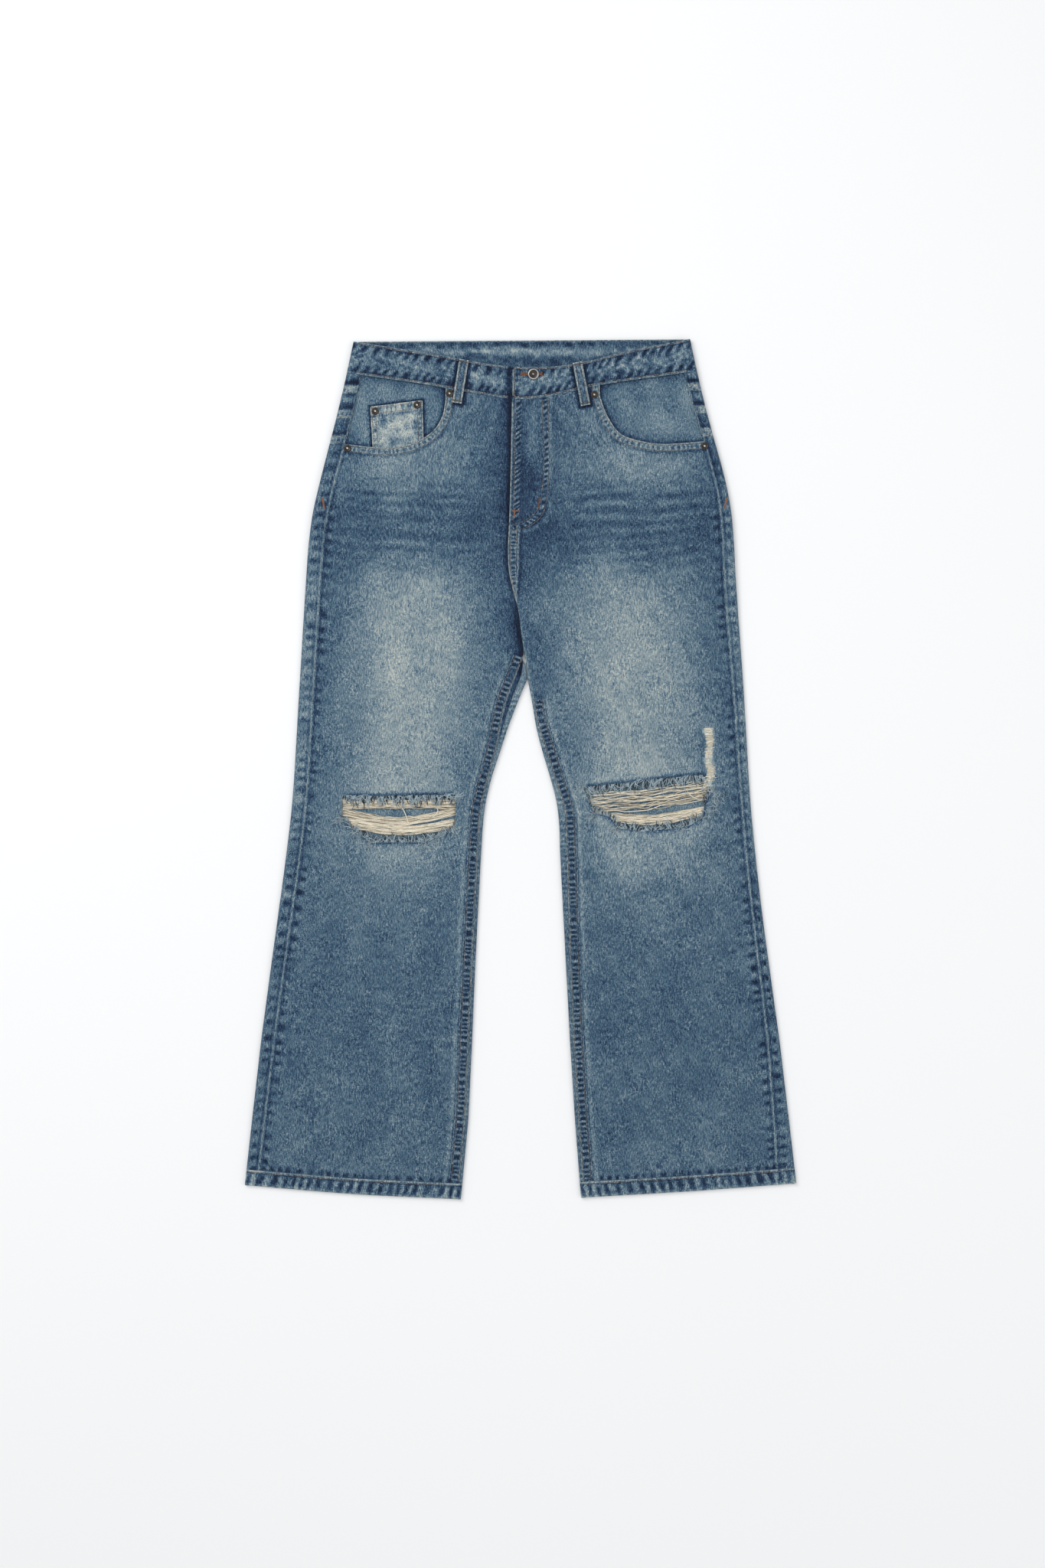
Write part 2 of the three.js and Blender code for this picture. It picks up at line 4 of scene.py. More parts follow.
import bmesh
import bpy
import numpy as np
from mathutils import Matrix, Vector


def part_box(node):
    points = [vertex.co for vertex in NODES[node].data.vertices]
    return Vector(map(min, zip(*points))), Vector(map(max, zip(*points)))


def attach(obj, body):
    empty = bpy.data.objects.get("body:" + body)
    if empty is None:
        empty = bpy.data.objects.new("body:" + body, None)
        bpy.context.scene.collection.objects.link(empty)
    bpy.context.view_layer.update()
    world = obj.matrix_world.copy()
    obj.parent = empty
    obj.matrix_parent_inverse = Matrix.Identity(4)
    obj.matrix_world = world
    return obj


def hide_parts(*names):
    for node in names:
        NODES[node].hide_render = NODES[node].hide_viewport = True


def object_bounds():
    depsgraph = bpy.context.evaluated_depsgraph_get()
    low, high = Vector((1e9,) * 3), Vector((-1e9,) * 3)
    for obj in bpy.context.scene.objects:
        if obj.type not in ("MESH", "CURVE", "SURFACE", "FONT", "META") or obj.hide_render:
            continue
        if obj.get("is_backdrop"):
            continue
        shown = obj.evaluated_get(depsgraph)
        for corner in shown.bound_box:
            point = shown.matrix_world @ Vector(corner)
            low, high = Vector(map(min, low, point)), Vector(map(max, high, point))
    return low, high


# Washed, flared, ripped denim jeans laid flat with the front up. Shapes are worked out in
# millimetres in the frame's own axes (+X the wearer's left, +Y the waistband, +Z up) and turned
# into metres where each mesh is made. The outlines and heights are read from the frame's solids.

bl_info = {
    "name": "Ripped jeans",
    "version": (1, 0, 0),
    "blender": (4, 5, 0),
    "location": "3D View > Sidebar > Jeans",
    "description": "Builds washed and ripped flared denim jeans, laid flat with the front up",
    "category": "Add Mesh",
}

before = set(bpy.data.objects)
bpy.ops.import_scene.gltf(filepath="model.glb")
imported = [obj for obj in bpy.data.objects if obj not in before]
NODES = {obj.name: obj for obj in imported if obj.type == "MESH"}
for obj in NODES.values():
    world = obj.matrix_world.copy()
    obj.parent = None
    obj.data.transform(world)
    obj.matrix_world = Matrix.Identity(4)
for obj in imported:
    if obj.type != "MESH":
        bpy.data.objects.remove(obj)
CAD_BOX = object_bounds()

MM = 0.001
RIGHT, LEFT = -1, 1
SIDES = {"right": RIGHT, "left": LEFT}
WORD = {side: word for word, side in SIDES.items()}


# ---- Lines read from the frame --------------------------------------------------------------
class Line:
    """A smooth curve through points, read as a value at any place along it."""

    def __init__(self, places, values):
        order = np.argsort(places)
        self.at = np.asarray(places, float)[order]
        self.value = np.asarray(values, float)[order]
        self.slope = np.gradient(self.value, self.at)

    def __call__(self, place):
        place = np.asarray(place, float)
        i = np.clip(np.searchsorted(self.at, place) - 1, 0, len(self.at) - 2)
        span = self.at[i + 1] - self.at[i]
        t = np.clip((place - self.at[i]) / span, 0, 1)
        past = place - np.clip(place, self.at[0], self.at[-1])
        a, b = self.value[i], self.value[i + 1]
        c, d = self.slope[i] * span, self.slope[i + 1] * span
        inside = a + t * (c + t * (3 * (b - a) - 2 * c - d + t * (c + d - 2 * (b - a))))
        return inside + past * np.where(past < 0, self.slope[0], self.slope[-1])


def slices(*names):
    """A function that cuts the named solids across an axis and gives the points it crosses."""
    starts, ends = [], []
    for name in names:
        mesh = NODES[name].data
        points = np.array([v.co for v in mesh.vertices]) / MM
        pairs = np.array([e.vertices[:] for e in mesh.edges])
        starts.append(points[pairs[:, 0]])
        ends.append(points[pairs[:, 1]])
    start, end = np.concatenate(starts), np.concatenate(ends)

    def cross(axis, at):
        a, b = start[:, axis] - at, end[:, axis] - at
        hit = (a <= 0) != (b <= 0)
        t = (a / np.where(a == b, 1, a - b))[hit]
        return start[hit] + t[:, None] * (end[hit] - start[hit])

    return cross


def traced(names, axis, places, pick):
    cross = slices(*names)
    return Line(places, [pick(cross(axis, at)) for at in places])


def outermost(side):
    return lambda points: side * (side * points[:, 0]).max()


def innermost(side):
    return lambda points: side * (side * points[:, 0]).min()


FRONT_LAYERS_Z = 5.0          # everything above this belongs to the front of the waist
APEX_Y = 111.5                # where the legs part
CROTCH_Y = 148.0              # where the inner folds meet the centre seam
HEM_TALL = 19.5
STRIP_MIDDLE = 228.0          # how far out the strip beside a pocket lies, at the yoke
BUTTON = (15.8, 486.6)        # the waist button's middle
FLAP_END_X = -9.6             # the end of the waistband's overlapping flap
FOLD_RADIUS = 2.8             # of the folds down the legs' sides
BAND_FOLD = 3.2               # of the waistband's folds at the hips
SEAM_GAP = 0.15               # left between panels that lie side by side
CENTRE_OPENS = (194, 262)     # heights over which the double centre seam widens from nothing
SIDE_SEAM_SPLIT = 328.0       # the height of the bartack where the pocket meets the side seam
STRIP_X, STRIP_ENDS = 232.5, (-26, 51)    # the worn strip above the left rip's outer end
RIP_Y = -50                   # about the middle of both rips
# Heights: of the legs' face and their side folds, then of the waistband's face, its folds at
# the hips, its back and the end that lies under the flap.
LEG_TOP, LEG_FOLD_Z, LEG_FOLD_RISE = 5.7, 3.1, 2.7
BAND_TOP, BAND_FOLD_Z, BAND_FOLD_RISE, BAND_BACK_Z, UNDERLAP_Z = 8.0, 4.8, 3.1, 1.7, 6.6
LOOP_WIDE, LOOP_LONG = 12, 54           # a front belt loop
# Spacing of the puckers that each seam draws up.
SIDE_PUCKER, INSEAM_PUCKER, SCOOP_PUCKER, HEM_ROPE, BAND_PUCKER = 15, 6.6, 6.2, 12, 12.5

YOKES = {s: [f"yoke_{band}_{s}" for band in ("top", "mid", "low")] for s in SIDES}
OUTER, INNER, SIDE_SEAM, INSEAM_EDGE, HEM = {}, {}, {}, {}, {}
for word, side in SIDES.items():
    shell = [f"hem_{word}", f"back_{word}", *YOKES[word]]
    OUTER[side] = traced([*shell, "waistband"], 1, np.linspace(-495, 520, 26), outermost(side))
    INNER[side] = traced([f"hem_{word}", f"back_{word}"], 1, np.linspace(-524, 111, 22),
                         innermost(side))
    SIDE_SEAM[side] = traced(
        [f"back_{word}", *YOKES[word]], 1, np.linspace(-486, 478, 22),
        lambda p, s=side: innermost(s)(p[(p[:, 2] > FRONT_LAYERS_Z) & (s * p[:, 0] > 150)]))
    INSEAM_EDGE[side] = traced([f"front_{word}"], 1, np.linspace(-505, 146, 24),
                               innermost(side))
    HEM[side] = traced([f"hem_{word}"], 0, side * np.array([90.0, 205.0, 330.0]),
                       lambda p: p[:, 1].min())
CENTRE = traced(["front_left"], 1, np.linspace(149, 452, 14), lambda p: p[:, 0].min())
CENTRE_BACK = traced(["back_left", *YOKES["left"]], 1, np.linspace(150, 460, 8),
                     lambda p: p[p[:, 2] < 3, 0].min())
BAND_XS = np.linspace(-204, 207, 22)
FRONT_SEAM = traced(["waistband"], 0, BAND_XS, lambda p: p[p[:, 2] > FRONT_LAYERS_Z, 1].min())
FRONT_EDGE = traced(["waistband"], 0, BAND_XS, lambda p: p[p[:, 2] > FRONT_LAYERS_Z, 1].max())
BACK_SEAM = traced(["waistband"], 0, BAND_XS[::5], lambda p: p[p[:, 2] < 4, 1].min())
BACK_EDGE = traced(["waistband"], 0, BAND_XS[::5], lambda p: p[p[:, 2] < 4, 1].max())
FRONT_Z = traced(["front_right"], 1, [-470, -260, 0, 140, 165, 185, 205, 231, 269, 383],
                 lambda p: p[:, 2].max())
BACK_Z = traced(["back_right"], 1, [-470, -260, 0, 140, 185, 205, 231, 269, 383],
                lambda p: p[:, 2].min())


def scoop_line(side):
    """The edge of the pocket scoop, from the waistband down and out to the side seam."""
    word = WORD[side]
    cross = slices(f"front_{word}")
    start, end = (92.6, 216.0) if side == RIGHT else (97.8, 226.0)
    xs = start + (end - start) * np.linspace(0, 1, 22) ** 1.8
    ys = [cross(0, side * x)[:, 1].max() for x in xs]
    top = FRONT_SEAM(side * start)
    return np.array([(side * (start - 0.4), top), *zip(side * xs, ys)])


SCOOP = {side: scoop_line(side) for side in (RIGHT, LEFT)}
YOKE_SEAMS = [
    traced(names, 0, [-150, -60, 60, 150], lambda p: p[p[:, 2] < 3, 1].max())
    for names in (["yoke_mid_right", "yoke_mid_left"], ["yoke_low_right", "yoke_low_left"],
                  ["back_right", "back_left"])
]
# Outlines of the two rips, from their upper inner corner, the right one outer side first.
RIPS = {
    RIGHT: [(-79, -31), (-150, -32), (-220, -33), (-220, -58), (-203, -75.6), (-183, -90),
            (-123, -90), (-99, -82), (-81, -73)],
    LEFT: [(76.5, -22), (90, -54), (109.6, -58), (120, -71), (143, -75), (176, -74.5),
           (202.5, -71), (223.8, -60.5), (228, -39), (236, -23.4), (223.8, -6.2), (150, -14)],
}
RIP_EDGES = {side: np.array(line + line[:1], float) for side, line in RIPS.items()}


# ---- Small helpers ---------------------------------------------------------------------------
def bump(v):
    """A soft hump, 1 at 0 and almost 0 past 2."""
    return np.exp(-np.square(v))


def step(v, low, high):
    t = np.clip((v - low) / (high - low), 0, 1)
    return t * t * (3 - 2 * t)


def between(v, low, high, soft):
    """1 between low and high, fading to 0 over `soft` on each side."""
    return step(v, low - soft, low + soft) * (1 - step(v, high - soft, high + soft))


def blob(x, y, cx, cy, rx, ry):
    return np.exp(-np.square((x - cx) / rx) - np.square((y - cy) / ry))


def ripple(x, y, size, seed, stretch=1.0):
    """Smooth random unevenness around 0, with humps about `size` mm apart."""
    rng = np.random.default_rng(seed)
    total, waves = 0.0, 9
    for _ in range(waves):
        angle, phase = rng.uniform(0, 2 * math.pi, 2)
        k = 2 * math.pi / (size * rng.uniform(0.7, 1.5))
        total += np.sin(k * (x * math.cos(angle) + y / stretch * math.sin(angle)) + phase)
    return total / math.sqrt(waves / 2) / 1.5


def rungs(along, period, seed):
    """Uneven puckers along a seam: about 1 on a pucker's crest and -1 in its trough."""
    drift = 0.35 * period * ripple(along, 0 * along, period * 5, seed)
    size = 0.75 + 0.35 * ripple(along, 0 * along, period * 4, seed + 1)
    return np.sin(2 * math.pi * (along + drift) / period) * size


def puckers(along, period, seed):
    """Rungs with flat crests and troughs, as a tight seam draws the cloth up."""
    return np.tanh(1.8 * rungs(along, period, seed))


def nearest(points, line):
    """Distance from each [x, y] point to a polyline, how far along it lies, and the foot."""
    a, b = line[:-1], line[1:]
    d = b - a
    length = np.linalg.norm(d, axis=1)
    start = np.concatenate([[0], np.cumsum(length)[:-1]])
    rel = points[:, None] - a[None]
    t = np.clip((rel * d).sum(2) / np.maximum(length ** 2, 1e-9), 0, 1)
    foot = a + t[..., None] * d
    gap = np.linalg.norm(points[:, None] - foot, axis=2)
    best = gap.argmin(1)
    rows = np.arange(len(points))
    return gap[rows, best], (start + t * length)[rows, best], foot[rows, best]


def away_from(line, x, y, near=None):
    """How far each place of a grid lies from a line, and how far along it. Places where `near`
    doesn't hold aren't worked out: they count as endlessly far."""
    near = np.ones(x.shape, bool) if near is None else near
    gap, along = np.full(x.shape, np.inf), np.zeros(x.shape)
    gap[near], along[near], _ = nearest(np.stack([x[near], y[near]], 1), line)
    return gap, along


def inside(points, polygon):
    """Which [x, y] points lie inside a closed polygon."""
    x, y = points[:, 0], points[:, 1]
    found = np.zeros(len(points), bool)
    for (x0, y0), (x1, y1) in zip(polygon, np.roll(polygon, -1, axis=0)):
        crossing = (y0 > y) != (y1 > y)
        rise = y1 - y0 if y1 != y0 else 1e-9
        found ^= crossing & (x < (x1 - x0) * (y - y0) / rise + x0)
    return found


def offset_line(line, distance):
    """A polyline moved sideways, to its left for a positive distance."""
    d = np.gradient(line, axis=0)
    d /= np.linalg.norm(d, axis=1)[:, None]
    return line + distance * np.stack([-d[:, 1], d[:, 0]], 1)


def resampled(line, step_length):
    """A polyline's points at even steps, with its direction at each."""
    line = np.asarray(line, float)
    lengths = np.linalg.norm(np.diff(line, axis=0), axis=1)
    along = np.concatenate([[0], np.cumsum(lengths)])
    count = max(int(along[-1] / step_length), 1)
    at = (np.arange(count) + 0.5) * along[-1] / count
    points = np.stack([np.interp(at, along, line[:, k]) for k in range(line.shape[1])], 1)
    i = np.clip(np.searchsorted(along, at) - 1, 0, len(lengths) - 1)
    direction = np.diff(line, axis=0)[i] / np.maximum(lengths[i], 1e-9)[:, None]
    return points, direction


# ---- Materials -------------------------------------------------------------------------------
def linear(hex_colour):
    """An sRGB hex colour as the linear values that a shader takes."""
    channels = [int(hex_colour[i:i + 2], 16) / 255 for i in (1, 3, 5)]
    return tuple(c / 12.92 if c <= 0.04045 else ((c + 0.055) / 1.055) ** 2.4
                 for c in channels) + (1.0,)


def chosen(name):
    """A colour from the scene's settings, as a shader takes it."""
    return (*getattr(bpy.context.scene.jeans_colours, name), 1.0)


def node(tree, kind, inputs=None, **settings):
    """Adds a node. Inputs maps a socket to a value, or to the output that feeds it."""
    made = tree.nodes.new(kind)
    for key, value in settings.items():
        setattr(made, key, value)
    for key, value in (inputs or {}).items():
        if isinstance(value, bpy.types.NodeSocket):
            tree.links.new(value, made.inputs[key])
        else:
            made.inputs[key].default_value = value
    return made


def blank_material(name):
    material = bpy.data.materials.new(name)
    material.use_nodes = True
    material.node_tree.nodes.clear()
    return material


def close_material(material, colour, normal=None, **sockets):
    """Ends a material in its surface shader. Sockets are the shader's plain values."""
    tree = material.node_tree
    inputs = {"Base Color": colour, **{k.replace("_", " "): v for k, v in sockets.items()}}
    if normal is not None:
        inputs["Normal"] = normal
    shader = node(tree, "ShaderNodeBsdfPrincipled", inputs)
    node(tree, "ShaderNodeOutputMaterial", {"Surface": shader.outputs[0]})
    return material


# Indigo from deep dye through washed blue to the bare cotton that shows where it is rubbed.
# Each shade stands at its own lightness, so a value of 0.4, whether from fading or from painted
# shade, looks like 0.4.
INDIGO = [(0.00, "#0a1425"), (0.14, "#162846"), (0.25, "#28405b"), (0.31, "#344e68"),
          (0.37, "#426077"), (0.42, "#506f84"), (0.50, "#6b838f"), (0.60, "#8f9da2"),
          (0.67, "#a3aead"), (0.76, "#b9bfb8"), (0.90, "#d9d6c8")]
TWILL_PITCH = 1.3             # mm between twill lines; the real 0.6 mm would not show
SPECKLE = 0.9                 # mm, a fleck of white weft; drawn coarser than the real 0.7 mm
SLUB = 1.1                    # mm across a thicker warp yarn, and four times as long
PATCH, CLOUD = 18, 70         # mm, the mottling that tumbling with stones leaves
TWILL_WAVE = 0.444            # turns a diagonal line's pitch into the wave node's scale


def denim(name, grain=1.0, lift=-0.012, mottle=0.07):
    """Ring-spun cotton twill, dyed with indigo and stonewashed: a matt, flecked, faintly
    diagonal weave whose pale weft shows more wherever the dye has been rubbed away, and which
    is darker wherever shade is painted onto it."""
    material = blank_material(name)
    tree = material.node_tree
    place = node(tree, "ShaderNodeTexCoord").outputs["Object"]
    wear = node(tree, "ShaderNodeAttribute", attribute_name="wear").outputs["Fac"]
    tall = node(tree, "ShaderNodeMapping", {"Vector": place, "Scale": (1, 0.25, 1)}).outputs[0]
    noises = ((place, SPECKLE, 1.0, 0.6, 1.0 * grain), (tall, SLUB, 0.0, 0.5, 0.42 * grain),
              (place, PATCH, 1.0, 0.5, mottle), (place, CLOUD, 1.0, 0.5, 0.07))
    textures = [(node(tree, "ShaderNodeTexNoise", {
        "Vector": at, "Scale": 1 / (size * MM), "Detail": detail, "Roughness": roughness}), amount)
        for at, size, detail, roughness, amount in noises]
    twill = node(tree, "ShaderNodeTexWave", {
        "Vector": place, "Scale": TWILL_WAVE / (TWILL_PITCH * MM), "Distortion": 2.0,
        "Detail": 1.0, "Detail Scale": 1.5}, wave_type="BANDS", bands_direction="DIAGONAL")
    level = node(tree, "ShaderNodeMath", {0: wear, 1: lift}, operation="ADD").outputs[0]
    for texture, amount in (*textures, (twill, 0.10 * grain)):
        centred = node(tree, "ShaderNodeMath", {0: texture.outputs["Fac"], 1: 0.5},
                       operation="SUBTRACT")
        level = node(tree, "ShaderNodeMath", {0: centred.outputs[0], 1: amount, 2: level},
                     operation="MULTIPLY_ADD").outputs[0]
    ramp = node(tree, "ShaderNodeValToRGB", {"Fac": level})
    shades = ramp.color_ramp.elements
    shades.remove(shades[1])
    shades[0].position = INDIGO[0][0]
    shades[0].color = linear(INDIGO[0][1])
    for position, shade in INDIGO[1:]:
        shades.new(position).color = linear(shade)
    height = node(tree, "ShaderNodeMath", {0: textures[0][0].outputs["Fac"],
                                           1: twill.outputs["Fac"]}, operation="ADD")
    relief = node(tree, "ShaderNodeBump", {"Strength": 0.35, "Distance": 0.3 * MM,
                                           "Height": height.outputs[0]})
    return close_material(material, ramp.outputs["Color"], relief.outputs[0], Roughness=0.95,
                          Specular_IOR_Level=0.15, Sheen_Weight=0.12, Sheen_Roughness=0.6)


def yarn(name, which, pitch=1.6):
    """Spun cotton yarn: matt and slightly hairy, with the twist of its plies showing as fine
    slanting light and dark along it."""
    dark, light = chosen(f"{which}_dark"), chosen(f"{which}_light")
    material = blank_material(name)
    tree = material.node_tree
    place = node(tree, "ShaderNodeTexCoord").outputs["Object"]
    wear = node(tree, "ShaderNodeAttribute", attribute_name="wear").outputs["Fac"]
    ply = node(tree, "ShaderNodeTexNoise", {"Vector": place, "Scale": 1 / (pitch * MM),
                                            "Detail": 2.0})
    shift = node(tree, "ShaderNodeMath", {0: ply.outputs["Fac"], 1: 0.9, 2: wear},
                 operation="MULTIPLY_ADD")
    amount = node(tree, "ShaderNodeMath", {0: shift.outputs[0], 1: 0.45}, operation="SUBTRACT")
    mixed = node(tree, "ShaderNodeMix", {"Factor": amount.outputs[0], "A": dark, "B": light},
                 data_type="RGBA")
    relief = node(tree, "ShaderNodeBump", {"Strength": 0.3, "Distance": 0.15 * MM,
                                           "Height": ply.outputs["Fac"]})
    return close_material(material, mixed.outputs["Result"], relief.outputs[0], Roughness=0.9,
                          Specular_IOR_Level=0.2, Sheen_Weight=0.2)


def antiqued_steel(name):
    """Steel blackened in a bath and tumbled: dark brown oxide in the hollows, rubbed bright
    on the crests, with a fine tumbled grain. On the rivets the brightest spot is a painted
    highlight."""
    material = blank_material(name)
    tree = material.node_tree
    place = node(tree, "ShaderNodeTexCoord").outputs["Object"]
    wear = node(tree, "ShaderNodeAttribute", attribute_name="wear").outputs["Fac"]
    grain = node(tree, "ShaderNodeTexNoise", {"Vector": place, "Scale": 1 / (1.1 * MM),
                                              "Detail": 4.0})
    shift = node(tree, "ShaderNodeMath", {0: grain.outputs["Fac"], 1: 0.5, 2: wear},
                 operation="MULTIPLY_ADD")
    amount = node(tree, "ShaderNodeMath", {0: shift.outputs[0], 1: 0.25}, operation="SUBTRACT")
    mixed = node(tree, "ShaderNodeMix", {
        "Factor": amount.outputs[0], "A": chosen("steel_dark"), "B": chosen("steel_light")},
        data_type="RGBA")
    rough = node(tree, "ShaderNodeMapRange", {"Value": grain.outputs["Fac"], "To Min": 0.3,
                                              "To Max": 0.5})
    relief = node(tree, "ShaderNodeBump", {"Strength": 0.2, "Distance": 0.1 * MM,
                                           "Height": grain.outputs["Fac"]})
    return close_material(material, mixed.outputs["Result"], relief.outputs[0], Metallic=0.9,
                          Roughness=rough.outputs[0])


def painted_floor(name):
    """Matt white emulsion on board, even and pale."""
    material = blank_material(name)
    tree = material.node_tree
    place = node(tree, "ShaderNodeTexCoord").outputs["Object"]
    roller = node(tree, "ShaderNodeTexNoise", {"Vector": place, "Scale": 180.0})
    relief = node(tree, "ShaderNodeBump", {"Strength": 0.05, "Height": roller.outputs["Fac"]})
    return close_material(material, chosen("floor"), relief.outputs[0], Roughness=0.9,
                          Specular_IOR_Level=0.1)


# What each slot of the record, and each further finish, is made of.
MATERIALS = {
    "washed_denim": lambda: denim("stonewashed_twill"),
    "edge_denim": lambda: denim("stonewashed_twill_doubled", mottle=0.22),
    "facing_denim": lambda: denim("pocket_facing_twill", grain=0.9),
    "pale_denim": lambda: denim("rubbed_pale_twill", mottle=0.16),
    # The wrong side of the twill shows three times as much undyed weft.
    "denim_wrong_side": lambda: denim("twill_wrong_side", grain=0.8, lift=0.16),
    "weft_yarn": lambda: yarn("undyed_weft_cotton", "weft"),
    "warp_yarn": lambda: yarn("indigo_warp_cotton", "warp", 2.2),
    # Topstitching in brown-grey polyester wrapped cotton, and brighter thread where it locks.
    "topstitch_thread": lambda: yarn("corespun_topstitch_thread", "topstitch", 2.5),
    "orange_thread": lambda: yarn("orange_bartack_thread", "bartack", 2.5),
    "zip_tape": lambda: yarn("woven_cotton_tape", "zip_tape", 1.2),
    "steel": lambda: antiqued_steel("antiqued_steel"),
    "floor": lambda: painted_floor("floor_emulsion"),
}
FINISHES = {}


def material(key):
    if key not in FINISHES:
        FINISHES[key] = MATERIALS[key]()
    return FINISHES[key]


# ---- Making meshes ---------------------------------------------------------------------------
SNAP = 5                      # mm, how far a cut edge's points are drawn to the line of the cut


def new_piece(name, points, faces, wear, materials, smooth_angle=50):
    """A mesh object from points in mm, with each point's fading and painted shading."""
    mesh = bpy.data.meshes.new(name)
    mesh.from_pydata((np.asarray(points) * MM).tolist(), [], faces)
    mesh.attributes.new("wear", "FLOAT", "POINT").data.foreach_set(
        "value", np.asarray(wear, np.float32).ravel())
    for key in materials:
        mesh.materials.append(material(key))
    mesh.polygons.foreach_set("use_smooth", np.ones(len(mesh.polygons), bool))
    mesh.set_sharp_from_angle(angle=math.radians(smooth_angle))
    piece = bpy.data.objects.new(name, mesh)
    bpy.context.scene.collection.objects.link(piece)
    return piece


def belongs(piece, nodes=()):
    """The piece moves with the jeans and hides the solids that it stands for."""
    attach(piece, "root")
    if nodes:
        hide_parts(*nodes)


def thickened(piece, thickness, hidden_inside=False):
    """Gives a sheet its thickness, inward, with the wrong side of the cloth within."""
    sheet = bmesh.new()
    sheet.from_mesh(piece.data)
    weld = 0.05 * MM
    bmesh.ops.remove_doubles(sheet, verts=sheet.verts, dist=weld)
    bmesh.ops.dissolve_degenerate(sheet, edges=sheet.edges, dist=weld)
    sheet.to_mesh(piece.data)
    sheet.free()
    solid = piece.modifiers.new("thickness", "SOLIDIFY")
    solid.thickness = thickness * MM
    solid.offset = -1
    solid.use_rim_only = hidden_inside
    solid.material_offset = 1
    solid.material_offset_rim = 1
    graph = bpy.context.evaluated_depsgraph_get()
    mesh = bpy.data.meshes.new_from_object(piece.evaluated_get(graph))
    old = piece.data
    piece.modifiers.clear()
    piece.data = mesh
    mesh.name = piece.name
    bpy.data.meshes.remove(old)
    mesh.set_sharp_from_angle(angle=math.radians(50))


def quads(rows, columns, ring=False):
    """The cells of a grid of points, each as its four corners."""
    across = columns if ring else columns - 1
    r, c = np.meshgrid(np.arange(rows - 1), np.arange(across), indexing="ij")
    here, there = r * columns + c, r * columns + (c + 1) % columns
    return np.stack([here, there, there + columns, here + columns], -1)


def facing_up(faces, points, probe, up):
    """The faces, turned so that the probe face looks up, or down where `up` is -1."""
    a, b, c = points[probe[:3]]
    return faces[..., ::-1] if np.cross(b - a, c - b)[2] * up < 0 else faces


def laid(name, points, faces, wear, slot, nodes, thickness, inner, hidden_inside=False):
    """A sheet's piece, thickened."""
    used, index = np.unique(faces, return_inverse=True)
    piece = new_piece(name, points[used], index.reshape(-1, 4).tolist(),
                      np.clip(wear.ravel()[used], 0, 1), [slot, inner])
    thickened(piece, thickness, hidden_inside)
    belongs(piece, nodes)


def cloth(name, grid, wear, slot, nodes, thickness=1.0, up=1, look=0.55, keep=None, snaps=(),
          ring=False, inner="denim_wrong_side", hidden_inside=False):
    """A sheet of cloth through a grid of points. Its face looks up or down (`up` is 1 or -1)
    at the share `look` of the way across. `keep` says which cells stay, and the edges of the
    cells cut away are drawn to `snaps`."""
    rows, columns = grid.shape[:2]
    cells = quads(rows, columns, ring)
    points = grid.reshape(-1, 3).copy()
    cells = facing_up(cells, points, cells[rows // 2, int(look * columns)], up)
    kept = np.ones(cells.shape[:2], bool) if keep is None else keep
    faces = cells[kept]
    if keep is not None:
        border = np.intersect1d(faces.ravel(), cells[~kept].ravel())
        for line in snaps:
            gap, _, foot = nearest(points[border, :2], line)
            close = gap < SNAP
            points[border[close], :2] = foot[close]
    across = np.linalg.norm(np.diff(grid, axis=1), axis=2).sum(1).max()
    if ring:
        across += np.linalg.norm(grid[0, 0] - grid[0, -1])
    laid(name, points, faces, wear, slot, nodes, thickness, inner, hidden_inside)


def tube_faces(count, steps, sides, flip=False):
    """Faces of many equal tubes with closed ends, and the tube that each point is on."""
    size = steps * sides
    start = np.arange(count)[:, None, None] * size
    ends = np.array([np.arange(sides), size - 1 - np.arange(sides)])
    ends = ends[:, ::-1] if flip else ends
    faces = [*(start + quads(steps, sides, ring=True).reshape(-1, 4)).reshape(-1, 4).tolist(),
             *(start + ends).reshape(-1, sides).tolist()]
    return faces, np.repeat(np.arange(count), size)


def tubes(paths, radius, sides=6, taper=0.15):
    """Yarns along paths of equal point counts: points, faces, and the path each is on."""
    paths = np.asarray(paths, float)
    count, steps = paths.shape[:2]
    along = np.gradient(paths, axis=1)
    along /= np.maximum(np.linalg.norm(along, axis=2, keepdims=True), 1e-9)
    lift = np.array([0.0, 0.0, 1.0]) + 0 * along
    lift[np.abs(along[..., 2]) > 0.9] = (1.0, 0.0, 0.0)
    u = np.cross(along, lift)
    u /= np.linalg.norm(u, axis=2, keepdims=True)
    v = np.cross(along, u)
    angle = np.arange(sides) * 2 * math.pi / sides
    t = np.linspace(0, 1, steps)
    profile = 1 - (1 - taper) * np.clip(1 - np.minimum(t, 1 - t) * steps / 1.5, 0, 1)
    r = np.broadcast_to(np.asarray(radius, float).reshape(-1, 1), (count, 1)) * profile
    ring = (np.cos(angle)[:, None] * u[:, :, None] + np.sin(angle)[:, None] * v[:, :, None])
    points = paths[:, :, None] + r[:, :, None, None] * ring
    return points.reshape(-1, 3), *tube_faces(count, steps, sides)


